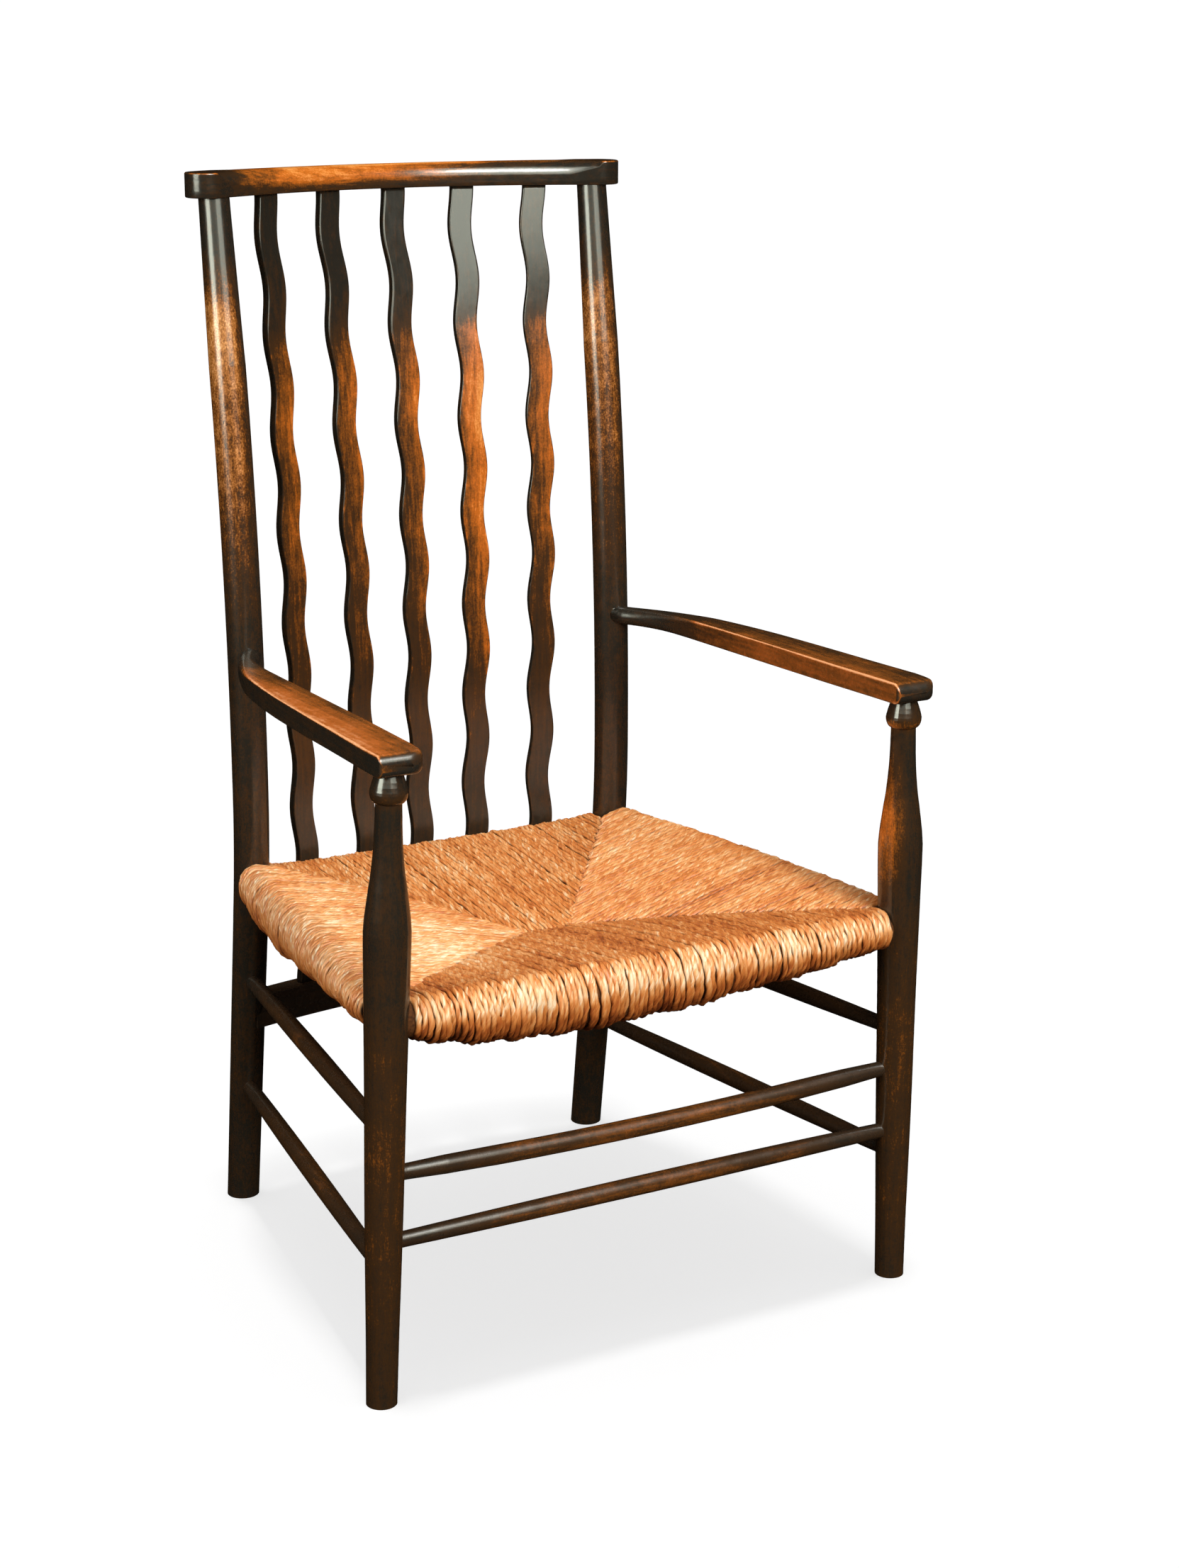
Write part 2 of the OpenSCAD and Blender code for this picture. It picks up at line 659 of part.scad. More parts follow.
// How far a corner of radius r is cut back at distance d from the end
function cut_back(d, r) = d >= r ? 0 : r - sqrt(r * r - (r - d) * (r - d));

arm_under_roll = 4;
function arm_front_ring(d) =
    let (y = -arm_front + d, top = arm_top(y))
    arm_ring([arm_x(0), y], 0,
        -arm_width / 2 + cut_back(d, arm_inner_r), arm_width / 2 - cut_back(d, arm_outer_r),
        top - arm_thick + cut_back(d, arm_under_roll), top - cut_back(d, arm_roll_r), arm_edge_r);

function arm_body_ring(v) =
    let (k = smooth(arm_rounding, v), w = arm_width * smooth(arm_taper, v))
    let (top = arm_top(arm_y(v)), grow = k * (arm_end_r - arm_thick / 2))
    let (half = mix(w / 2, arm_end_r, k))
    arm_ring([arm_x(v), arm_y(v)], arm_angle(v), -half, half,
        top - arm_thick - grow, top + grow, mix(arm_edge_r, arm_end_r, k));

function arm_last_ring() =
    arm_ring(arm_entry + 6 * [-sin(arm_turn), cos(arm_turn), 0], arm_turn,
        -arm_end_r, arm_end_r, arm_rear_z - arm_end_r, arm_rear_z + arm_end_r, arm_end_r);

module arm() {
    difference() {
        union() {
            difference() {
                skin(concat(
                    [for (d = [0, 0.5, 1.5, 3, 5, 7.5, 11, 15]) arm_front_ring(d)],
                    [for (v = [0.06, 0.2, 0.38, 0.56, 0.66, 0.72, 0.77, 0.81, 0.85, 0.89,
                        0.925, 0.955, 0.98]) arm_body_ring(v)],
                    [arm_last_ring()]
                ));
                back_post_near(arm_rear_z, back_post_r + cope_gap, 30);
            }
            rod(arm_entry, arm_inner, arm_tenon_r, -8, arm_rear_tenon);
        }
        rod(front_axis(arm_under_z), front_axis(arm_height), arm_tenon_r + tenon_gap,
            -20, arm_thick * 0.68 + end_gap);
    }
}

// Stretchers: straight turned rods that swell towards the middle

stretcher_steps = 16;
module stretcher(a, b, ra, rb) {
    whole = norm(b - a);
    from = ra - stretcher_tenon;
    to = whole - rb + stretcher_tenon;
    swell = [for (i = [0 : stretcher_steps])
        let (t = i / stretcher_steps, s = 1 - pow(abs(2 * t - 1), 2.2))
        [mix(stretcher_end_r, stretcher_r, s), mix(ra + 2, whole - rb - 2, t)]];
    along(a, b) rotate_extrude($fn = round_fn) polygon(concat(
        [[0, from], [stretcher_end_r, from]], swell, [[stretcher_end_r, to], [0, to]]));
}

module bowed_end() {
    post = front_r(front_upper_z);
    run = norm(bow_end - front_upper_b);
    along(front_upper_b, bow_end) rotate_extrude($fn = round_fn) polygon([
        [0, post - stretcher_tenon], [stretcher_end_r, post - stretcher_tenon],
        [stretcher_end_r, post + 2], [mix(stretcher_end_r, stretcher_r, 0.75), run * 0.55],
        [stretcher_r, run], [stretcher_r - 0.05, run], [stretcher_r - 0.05, run + 2], [0, run + 2]]);
}

module stretcher_front_upper() {
    translate([0, bow_end[1], bow_end[2] + bow_r * cos(bow_angle)]) rotate([90, 0, 0])
        rotate([0, 0, -90 - bow_angle]) rotate_extrude(angle = 2 * bow_angle, $fn = 3 * bend_fn)
            translate([bow_r, 0]) circle(r = stretcher_r, $fn = round_fn);
    bowed_end();
    mirror([1, 0, 0]) bowed_end();
}

// Hidden seat rails

function rail_outline(whole, ra, rb) = [
    [0, ra - rail_tenon], [rail_tenon_r, ra - rail_tenon], [rail_tenon_r, ra + 2],
    [rail_end_r, ra + 2], [rail_r, ra + 32], [rail_r, whole - rb - 32],
    [rail_end_r, whole - rb - 2], [rail_tenon_r, whole - rb - 2],
    [rail_tenon_r, whole - rb + rail_tenon], [0, whole - rb + rail_tenon]];

module seat_rail(a, b, ra, rb) {
    along(a, b) rotate_extrude($fn = round_fn) polygon(rail_outline(norm(b - a), ra, rb));
}

front_rail_post_r = front_r(front_rail_b[2]);
side_rail_post_r = front_r(side_rail_a[2]);

module side_rail() {
    seat_rail(side_rail_a, side_rail_b, side_rail_post_r, back_post_r);
}

// Rush seat: four corners at the post axes, four wedges that meet in the middle seam

corner_z = seat_height - front_rail_drop;
corner_f = front_axis(corner_z);
corner_b = back_axis(seat_height - back_rail_drop);
ridge_y = mix(corner_f[1], corner_b[1], ridge_share);
corners = [
    [-corner_f[0], corner_f[1]], [corner_f[0], corner_f[1]],
    [corner_b[0], corner_b[1]], [-corner_b[0], corner_b[1]]
];
ridge = [[-ridge_half, ridge_y], [ridge_half, ridge_y], [ridge_half, ridge_y], [-ridge_half, ridge_y]];

// Top and underside of the edge roll, below the seat height, by share along each side
front_top = [[0, 2], [0.5, 2.5], [1, 2]];
front_under = [[0, 39], [0.1, 51], [0.2, 60], [0.3, 64], [0.45, 65], [0.55, 62], [0.67, 57],
    [0.8, 51], [0.9, 45], [1, 39]];
side_top = [[0, 2], [0.5, 0], [0.8, 3], [1, 7]];
side_under = [[0, 33], [0.2, 40], [0.4, 48], [0.55, 55], [0.72, 59], [0.88, 54], [1, 46]];
back_top = [[0, 12], [0.15, 17], [0.5, 18], [0.85, 18], [1, 12]];
back_under = [[0, 52], [0.2, 62], [0.5, 68], [0.8, 62], [1, 52]];
function reversed(t) = [for (i = [len(t) - 1 : -1 : 0]) [1 - t[i][0], t[i][1]]];
top_drop = [front_top, side_top, back_top, reversed(side_top)];
under_drop_of = [front_under, side_under, back_under, reversed(side_under)];
bulge_of = [front_bulge, side_bulge, back_bulge, side_bulge];

seat_columns = 12;
function column_share(j) = 0.5 - 0.5 * sign(cos(180 * j / seat_columns))
    * pow(abs(cos(180 * j / seat_columns)), 0.85);
function edge_top(i, s) = seat_height - smooth(top_drop[i], s);
function edge_under(i, s) = seat_height - smooth(under_drop_of[i], s);
function side_length(i) = norm(corners[(i + 1) % 4] - corners[i]);
function outward(i) =
    let (d = unit(corners[(i + 1) % 4] - corners[i]))
    [d[1], -d[0]];
function seat_place(i, s, t) = mix(
    mix(corners[i], ridge[i], t),
    mix(corners[(i + 1) % 4], ridge[(i + 1) % 4], t), s);
function swell_at(i, s) = 1 - exp(-min(s, 1 - s) * side_length(i) / swell_run);

function seat_ring(row) = [for (i = [0 : 3]) for (j = [0 : seat_columns - 1])
    let (s = column_share(j), top = edge_top(i, s), low = edge_under(i, s))
    row[0] == "roll" ?
        let (q = seat_place(i, s, 0) + outward(i) * bulge_of[i] * swell_at(i, s) * sin(row[1]))
        [q[0], q[1], (top + low) / 2 + (top - low) / 2 * cos(row[1])] :
    row[0] == "top" ?
        let (q = seat_place(i, s, row[1]), f = row[1] - 0.07 * sin(180 * row[1]))
        [q[0], q[1], mix(top, seat_height - dish_depth, f)] :
        let (q = seat_place(i, s, row[1]))
        [q[0], q[1], mix(low, seat_height - under_drop, row[1])]];

seat_rows = concat(
    [for (t = [0.97, 0.8, 0.6, 0.4, 0.22, 0.09]) ["top", t]],
    [for (a = [0 : 22.5 : 180]) ["roll", a]],
    [for (t = [0.15, 0.4, 0.7, 0.97]) ["under", t]]
);

module seat_form() {
    rings = [for (row = seat_rows) seat_ring(row)];
    n = len(rings[0]);
    m = len(rings);
    points = concat([for (ring = rings) each ring], [
        [0, ridge_y, seat_height - dish_depth], [0, ridge_y, seat_height - under_drop]]);
    walls = [for (k = [0 : m - 2]) for (j = [0 : n - 1])
        let (a = k * n + j, b = k * n + (j + 1) % n)
        each [[a, b, b + n], [a, b + n, a + n]]];
    first = [for (j = [0 : n - 1]) [m * n, (j + 1) % n, j]];
    last = [for (j = [0 : n - 1]) [m * n + 1, (m - 1) * n + j, (m - 1) * n + (j + 1) % n]];
    polyhedron(points = points, faces = concat(walls, first, last), convexity = 8);
}

// Stuffing: one wedge in each quarter, thick at the rail and thin at the middle
pad_near = 0.13;
pad_far = 0.72;
pad_from = [0.17, 0.28, 0.17, 0.17];
pad_to = [0.83, 0.83, 0.83, 0.72];

function pad_depth(i) = norm((corners[i] + corners[(i + 1) % 4] - ridge[i] - ridge[(i + 1) % 4]) / 2);
function pad_ring(i, t, grow) =
    let (near = t < 0.5, side = grow / side_length(i) * 3)
    let (at = near ? t - grow / pad_depth(i) : t + grow / pad_depth(i))
    let (a = seat_place(i, pad_from[i] - side, at), b = seat_place(i, pad_to[i] + side, at))
    let (crown = min(edge_top(i, pad_from[i]), edge_top(i, pad_to[i])))
    let (belly = max(edge_under(i, pad_from[i]), edge_under(i, pad_to[i])))
    let (top = mix(crown, seat_height - dish_depth, t) - rush_layer + grow)
    let (low = mix(belly, seat_height - under_drop, t) + rush_layer - grow)
    [[a[0], a[1], low], [b[0], b[1], low], [b[0], b[1], top], [a[0], a[1], top]];

module stuffing(i, grow = 0) {
    p = concat(pad_ring(i, pad_near, grow), pad_ring(i, pad_far, grow));
    polyhedron(points = p, faces = [
        [0, 3, 2, 1], [4, 5, 6, 7], [0, 1, 5, 4], [1, 2, 6, 5], [2, 3, 7, 6], [3, 0, 4, 7]]);
}

module rail_tunnel(a, b, ra, rb) {
    whole = norm(b - a);
    along(a, b) rotate_extrude($fn = round_fn) polygon([
        [0, ra - 6], [rail_end_r + rush_gap, ra - 6], [rail_end_r + rush_gap, ra + 1.5],
        [rail_r + rush_gap, ra + 31], [rail_r + rush_gap, whole - rb - 31],
        [rail_end_r + rush_gap, whole - rb - 1.5], [rail_end_r + rush_gap, whole - rb + 6],
        [0, whole - rb + 6]]);
}

module rush_seat() {
    difference() {
        seat_form();
        for (s = [false, true]) sided(s) {
            front_post_body(rush_gap);
            back_post_near(corner_b[2], back_post_r + rush_gap + 0.4, 70);
            rail_tunnel(side_rail_a, side_rail_b, side_rail_post_r, back_post_r);
        }
        rail_tunnel(flip(front_rail_b), front_rail_b, front_rail_post_r, front_rail_post_r);
        rail_tunnel(flip(back_rail_b), back_rail_b, back_post_r, back_post_r);
        for (i = [0 : 3]) stuffing(i, rush_gap);
    }
}

// The whole chair is set back so that its box is centred on the origin
shift_y = -(crest_back_y - arm_front) / 2;

dark = [0.16, 0.11, 0.07];
brown = [0.42, 0.21, 0.09];
straw = [0.74, 0.55, 0.30];
pale = [0.72, 0.63, 0.46];

module placed(shade) {
    color(shade) translate([0, shift_y, 0]) children();
}

placed(brown) sided(true) back_post();  // back_post_left
placed(brown) back_post();  // back_post_right
placed(dark) sided(true) front_post();  // front_post_left
placed(dark) front_post();  // front_post_right
placed(dark) crest_rail();
placed(brown) splat(0);  // splat_1
placed(brown) splat(1);  // splat_2
placed(brown) splat(2);  // splat_3
placed(brown) splat(3);  // splat_4
placed(brown) splat(4);  // splat_5
placed(dark) splat_rail();
placed(brown) sided(true) arm();  // arm_left
placed(brown) arm();  // arm_right
placed(pale)  // seat_rail_front
    seat_rail(flip(front_rail_b), front_rail_b, front_rail_post_r, front_rail_post_r);
placed(pale)  // seat_rail_back
    seat_rail(flip(back_rail_b), back_rail_b, back_post_r, back_post_r);
placed(pale) sided(true) side_rail();  // seat_rail_left
placed(pale) side_rail();  // seat_rail_right
placed(dark) stretcher_front_upper();
placed(dark)  // stretcher_front_lower
    stretcher(flip(front_lower_b), front_lower_b, front_r(front_lower_z), front_r(front_lower_z));
placed(dark) sided(true)  // stretcher_left_upper
    stretcher(side_upper_a, side_upper_b, front_r(side_upper_front_z), back_r(side_upper_back_z));
placed(dark) sided(true)  // stretcher_left_lower
    stretcher(side_lower_a, side_lower_b, front_r(side_lower_z), back_r(side_lower_z));
placed(dark)  // stretcher_right_upper
    stretcher(side_upper_a, side_upper_b, front_r(side_upper_front_z), back_r(side_upper_back_z));
placed(dark)  // stretcher_right_lower
    stretcher(side_lower_a, side_lower_b, front_r(side_lower_z), back_r(side_lower_z));
placed(straw) rush_seat();
placed(pale) stuffing(0);  // stuffing_front
placed(pale) stuffing(2);  // stuffing_back
placed(pale) stuffing(3);  // stuffing_left
placed(pale) stuffing(1);  // stuffing_right
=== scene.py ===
import math
import bpy
import numpy as np
from mathutils import Matrix, Vector


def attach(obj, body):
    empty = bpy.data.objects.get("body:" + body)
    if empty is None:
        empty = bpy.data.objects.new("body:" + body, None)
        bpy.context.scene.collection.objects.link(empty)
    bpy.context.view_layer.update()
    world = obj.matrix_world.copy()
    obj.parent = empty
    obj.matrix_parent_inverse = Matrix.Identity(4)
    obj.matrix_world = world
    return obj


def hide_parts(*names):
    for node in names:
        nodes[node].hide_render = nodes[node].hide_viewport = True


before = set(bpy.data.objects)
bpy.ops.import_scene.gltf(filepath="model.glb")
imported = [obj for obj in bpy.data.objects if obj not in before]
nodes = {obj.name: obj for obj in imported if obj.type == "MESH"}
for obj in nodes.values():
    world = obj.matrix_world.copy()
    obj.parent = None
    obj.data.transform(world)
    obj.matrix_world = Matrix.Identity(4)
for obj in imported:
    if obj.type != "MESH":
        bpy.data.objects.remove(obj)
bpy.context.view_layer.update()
rng = np.random.default_rng(1907)

# -------------------------------- sizes, in mm, as in the model's source
TOTAL_HEIGHT, SEAT_HEIGHT, ARM_HEIGHT = 1085.0, 398.0, 628.0
FRONT_X, BACK_X, SEAT_DEPTH = 285.7, 213.0, 448.7
LEAN_IN, LEAN_OUT = math.radians(1.228), math.radians(0.871)
BACK_POST_R, BEND_Z, UPRIGHT_RUN = 18.3, 470.0, 10.0
FOOT_RAKE, FOOT_BEND_R, BACK_BEND_R, BACK_STRAIGHT = math.radians(7.6), 1000.0, 3200.0, 163.0
CREST_THICK, CREST_BOW, CREST_FRONT, CREST_BACK = 24.5, 50.0, 12.0, 13.0
SPLAT_ARC_FORWARD, CREST_END_R, CREST_OVERHANG = 6.0, 20.5, 8.5
CREST_ROLL_R, CREST_ROLL_HALF, CREST_ROLL_FLARE, CREST_BACK_ROLL_R = 14.0, 188.0, 38.0, 10.0
SPLAT_WIDTH, SPLAT_THICK, WAVE_SIZE, WAVE_LENGTH, WAVE_START = 24.0, 9.5, 2.7, 97.8, 93.0
LOW_X = [-137.3, -63.4, 0.0, 63.4, 137.3]
HIGH_X = [-151.6, -76.0, 0.0, 76.0, 151.6]
SPLAT_BEND_Z, RAIL_Z, RAIL_TALL, RAIL_BOW, RAIL_FORWARD = 520.0, 204.0, 34.0, 25.0, 6.0
ARM_THICK, ARM_WIDTH, ARM_FRONT, ARM_FALL = 20.5, 46.0, 35.0, 9.0
ARM_EDGE_R, ARM_TENON_R, ARM_ENTRY_OUT, ARM_TURN = 1.8, 9.0, 1.5, math.radians(24)
FRONT_BULGE, SIDE_BULGE, BACK_BULGE, SWELL_RUN = 24.0, 22.0, 18.0, 12.0
DISH_DEPTH, UNDER_DROP, RIDGE_HALF, RIDGE_SHARE = 41.0, 62.0, 24.0, 0.456
FRONT_RAIL_DROP, BACK_RAIL_DROP = 22.0, 36.0


def mix(a, b, t):
    return a + (b - a) * t


def smooth(t, x):
    """The source's smooth table: cubic pieces through the rows of t."""
    i = 0
    while i < len(t) - 2 and x >= t[i + 1][0]:
        i += 1
    h = t[i + 1][0] - t[i][0]
    u = min(1.0, max(0.0, (x - t[i][0]) / h))

    def slope(k):
        a, b = max(0, k - 1), min(len(t) - 1, k + 1)
        return (t[b][1] - t[a][1]) / (t[b][0] - t[a][0])
    return ((1 + 2 * u) * (1 - u) ** 2 * t[i][1] + u * (1 - u) ** 2 * h * slope(i)
            + u * u * (3 - 2 * u) * t[i + 1][1] + u * u * (u - 1) * h * slope(i + 1))


def front_axis(z):
    return np.array([FRONT_X - z * math.tan(LEAN_IN), -z * math.tan(LEAN_OUT), z])


CREST_Z = TOTAL_HEIGHT - CREST_THICK
LOW_BEND_Z, HIGH_BEND_Z = BEND_Z - UPRIGHT_RUN / 2, BEND_Z + UPRIGHT_RUN / 2
FOOT_TOP_Z = LOW_BEND_Z - FOOT_BEND_R * math.sin(FOOT_RAKE)
FOOT_TOP_Y = SEAT_DEPTH + FOOT_BEND_R * (1 - math.cos(FOOT_RAKE))
LEAN_Z = CREST_Z - BACK_STRAIGHT
BACK_LEAN = math.asin((LEAN_Z - HIGH_BEND_Z) / BACK_BEND_R)
LEAN_Y = SEAT_DEPTH + BACK_BEND_R * (1 - math.cos(BACK_LEAN))


def back_y(z):
    if z < FOOT_TOP_Z:
        return FOOT_TOP_Y + (FOOT_TOP_Z - z) * math.tan(FOOT_RAKE)
    if z < LOW_BEND_Z:
        return SEAT_DEPTH + FOOT_BEND_R - math.sqrt(FOOT_BEND_R ** 2 - (LOW_BEND_Z - z) ** 2)
    if z < HIGH_BEND_Z:
        return SEAT_DEPTH
    if z < LEAN_Z:
        return SEAT_DEPTH + BACK_BEND_R - math.sqrt(BACK_BEND_R ** 2 - (z - HIGH_BEND_Z) ** 2)
    return LEAN_Y + (z - LEAN_Z) * math.tan(BACK_LEAN)


def back_axis(z):
    return np.array([BACK_X, back_y(z), z])


def arc_y(x, r, cy):
    return cy + math.sqrt(r * r - x * x)


# the crest rail in plan
SPLAT_ARC_R = (BACK_X ** 2 + CREST_BOW ** 2) / (2 * CREST_BOW)
SPLAT_ARC_Y = back_y(CREST_Z) - SPLAT_ARC_FORWARD + CREST_BOW - SPLAT_ARC_R
FRONT_ARC_R = SPLAT_ARC_R - CREST_FRONT
TIP_X = BACK_X + CREST_OVERHANG
TIP_Y = SPLAT_ARC_Y + math.sqrt((FRONT_ARC_R + CREST_END_R) ** 2 - TIP_X ** 2)
CREST_BACK_Y = SPLAT_ARC_Y + SPLAT_ARC_R + CREST_BACK
BACK_DROP = CREST_BACK_Y - TIP_Y
BACK_ARC_R = (TIP_X ** 2 + BACK_DROP ** 2 - CREST_END_R ** 2) / (2 * (BACK_DROP - CREST_END_R))
BACK_ARC_Y = CREST_BACK_Y - BACK_ARC_R
SHIFT_Y = -(CREST_BACK_Y - ARM_FRONT) / 2

# the arms
ARM_X0, ARM_JOINT_Y = front_axis(ARM_HEIGHT)[0], front_axis(ARM_HEIGHT)[1]
ARM_REAR_Y = back_y(ARM_HEIGHT - ARM_FALL) - BACK_POST_R
ARM_SLOPE = math.atan(ARM_FALL / (ARM_REAR_Y - ARM_JOINT_Y))


def arm_top(y):
    return ARM_HEIGHT - (y - ARM_JOINT_Y) * math.tan(ARM_SLOPE)


ARM_REAR_Z = arm_top(ARM_REAR_Y) - ARM_THICK / 2
ARM_ENTRY = np.array([BACK_X + ARM_ENTRY_OUT, back_y(ARM_REAR_Z) - BACK_POST_R, ARM_REAR_Z])


# -------------------------------- mesh helpers
def add_object(name, data):
    obj = bpy.data.objects.new(name, data)
    bpy.context.scene.collection.objects.link(obj)
    return obj


def piece(name, verts_mm, faces, mat, solid, attrs=None):
    """A mesh in the row frame from points in mm, which rides on the chair in place of a solid."""
    v = np.asarray(verts_mm, float).copy()
    v[:, 1] += SHIFT_Y
    mesh = bpy.data.meshes.new(name)
    mesh.from_pydata((v / 1000).tolist(), [], [list(map(int, f)) for f in faces])
    mesh.validate()
    for key, values in (attrs or {}).items():
        layer = mesh.attributes.new(key, "FLOAT", "POINT")
        layer.data.foreach_set("value", np.asarray(values, np.float32))
    mesh.polygons.foreach_set("use_smooth", [True] * len(mesh.polygons))
    obj = add_object(name, mesh)
    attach(obj, "root")
    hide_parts(solid)
    mesh.materials.append(mat)


def ring_faces(count, around, start=0, caps=True):
    """Faces between count rings of points, with a cap at each end."""
    faces = []
    for k in range(count - 1):
        a, b = start + k * around, start + (k + 1) * around
        for j in range(around):
            n = (j + 1) % around
            faces.append((a + j, a + n, b + n, b + j))
    if caps:
        faces.append(tuple(range(start + around - 1, start - 1, -1)))
        faces.append(tuple(start + (count - 1) * around + j for j in range(around)))
    return faces


def turned_over(faces):
    return [tuple(reversed(f)) for f in faces]


# -------------------------------- camera, from the photograph's fit
PHOTO_W, FOCAL_PX, SENSOR_W = 1663.0, 4020.64, 36
YAW, PITCH, ROLL = 0.514721, 0.276427, 0.0045726
EYE = Vector((-1.29283, -2.16597 + SHIFT_Y / 1000, 1.27161))
forward = Vector((math.sin(YAW) * math.cos(PITCH), math.cos(YAW) * math.cos(PITCH), -math.sin(PITCH)))
level = Vector((math.cos(YAW), -math.sin(YAW), 0))
upward = level.cross(forward)
cam_x = math.cos(ROLL) * level + math.sin(ROLL) * upward
cam_y = -math.sin(ROLL) * level + math.cos(ROLL) * upward
cam = bpy.data.cameras.new("camera")
cam.sensor_fit, cam.sensor_width = "HORIZONTAL", SENSOR_W
cam.lens = SENSOR_W * FOCAL_PX / PHOTO_W
cam.clip_start, cam.clip_end = 0.05, 100
camera = add_object("camera", cam)
camera.matrix_world = Matrix((
    (cam_x.x, cam_y.x, -forward.x, EYE.x), (cam_x.y, cam_y.y, -forward.y, EYE.y),
    (cam_x.z, cam_y.z, -forward.z, EYE.z), (0, 0, 0, 1)))
bpy.context.scene.camera = camera
bpy.context.scene.view_settings.view_transform = "Standard"


# -------------------------------- node helpers
class Nodes:
    """Short calls for building a node tree."""

    def __init__(self, tree):
        self.tree = tree

    def add(self, kind, **fields):
        n = self.tree.nodes.new(kind)
        for key, value in fields.items():
            setattr(n, key, value)
        return n

    def put(self, socket, value):
        if hasattr(value, "is_output"):
            self.tree.links.new(value, socket)
        elif value is not None:
            socket.default_value = value

    def math(self, op, a, b=0.5):
        n = self.add("ShaderNodeMath", operation=op)
        self.put(n.inputs[0], a)
        self.put(n.inputs[1], b)
        return n.outputs[0]

    def times(self, a, b):
        return self.math("MULTIPLY", a, b)

    def swing(self, value, source, size):
        """value, moved up and down by a source that runs from 0 to 1."""
        return self.math("ADD", value, self.times(self.math("SUBTRACT", source, 0.5), size))

    def ramp(self, value, stops, mode="LINEAR"):
        n = self.add("ShaderNodeValToRGB")
        n.color_ramp.interpolation = mode
        while len(n.color_ramp.elements) < len(stops):
            n.color_ramp.elements.new(0.5)
        for e, (at, colour) in zip(n.color_ramp.elements, stops):
            e.position = at
            e.color = (*colour, 1) if isinstance(colour, (tuple, list)) else (colour, colour, colour, 1)
        self.put(n.inputs[0], value)
        return n.outputs[0]

    def darkened(self, colour, by):
        n = self.add("ShaderNodeMix", data_type="RGBA", blend_type="MULTIPLY")
        self.put(n.inputs[0], 1.0)
        self.put(n.inputs[6], colour)
        self.put(n.inputs[7], by)
        return n.outputs[2]

    def coordinate(self, kind="Object"):
        return self.add("ShaderNodeTexCoord").outputs[kind]

    def parts(self, vector):
        n = self.add("ShaderNodeSeparateXYZ")
        self.put(n.inputs[0], vector)
        return n.outputs

    def stretched(self, scale, source):
        n = self.add("ShaderNodeMapping")
        self.put(n.inputs["Vector"], source)
        n.inputs["Scale"].default_value = scale
        return n.outputs[0]

    def noise(self, where, scale, detail=3.0, rough=0.5, distort=0.0):
        n = self.add("ShaderNodeTexNoise")
        self.put(n.inputs["Vector"], where)
        n.inputs["Scale"].default_value = scale
        n.inputs["Detail"].default_value = detail
        n.inputs["Roughness"].default_value = rough
        n.inputs["Distortion"].default_value = distort
        return n.outputs[0]

    def scaled(self, value, low, high, to_low=0.0, to_high=1.0):
        n = self.add("ShaderNodeMapRange", clamp=True)
        self.put(n.inputs[0], value)
        for i, x in enumerate((low, high, to_low, to_high)):
            n.inputs[i + 1].default_value = x
        return n.outputs[0]

    def attribute(self, name):
        return self.add("ShaderNodeAttribute", attribute_name=name).outputs["Fac"]

    def bump(self, shader, height, strength, distance):
        n = self.add("ShaderNodeBump")
        n.inputs["Strength"].default_value = strength
        n.inputs["Distance"].default_value = distance
        self.put(n.inputs["Height"], height)
        self.put(shader.inputs["Normal"], n.outputs[0])


def material(name):
    mat = bpy.data.materials.new(name)
    mat.use_nodes = True
    return mat, Nodes(mat.node_tree), mat.node_tree.nodes["Principled BSDF"]


# -------------------------------- wood: dark stain, worn to red and orange brown
EBONY, UMBER, RUSSET = (0.021, 0.0170, 0.0115), (0.056, 0.0240, 0.0075), (0.19, 0.058, 0.008)
AMBER, HONEY = (0.58, 0.142, 0.012), (0.84, 0.33, 0.07)
POST_GOLD = (0.56, 0.21, 0.045), (0.86, 0.50, 0.19)
ARM_RED = (0.50, 0.125, 0.018), (0.88, 0.40, 0.17)
# how much streaks and dashes are drawn out along the grain
STREAK_STRETCH, DASH_STRETCH = 0.07, 0.16

# How far the dark stain has faded, 0 to 1, at heights or places in metres. The tables by x for splats
# and back posts change what the height gives.
SPLAT_BY_Z = [(0.20, 0.02), (0.40, 0.04), (0.45, 0.12), (0.52, 0.27), (0.62, 0.43), (0.74, 0.54),
              (0.86, 0.66), (0.905, 0.55), (0.94, 0.16), (0.98, 0.02), (1.085, 0.0)]
SPLAT_BY_X = [(-0.18, -0.26), (-0.13, -0.22), (-0.07, -0.06), (0.0, 0.02), (0.07, 0.24), (0.11, 0.12),
              (0.14, 0.07), (0.18, 0.04)]
BACK_POST_BY_Z = [(0.0, 0.10), (0.45, 0.12), (0.62, 0.14), (0.72, 0.35), (0.82, 0.58), (0.94, 0.68),
                  (0.99, 0.28), (1.02, 0.06), (1.085, 0.02)]
BACK_POST_BY_X = [(-0.2, 1.06), (0.2, 0.86)]
# front posts: the light band round 0.583 m is a painted reflection of the rush seat on the bead's underside;
# the rest is faded stain
FRONT_POST_FADE_AND_REFLECTION_BY_Z = [(0.0, 0.20), (0.10, 0.26), (0.26, 0.32), (0.33, 0.26), (0.42, 0.12), (0.50, 0.14),
                   (0.57, 0.04), (0.583, 0.34), (0.592, 0.14), (0.63, 0.04)]
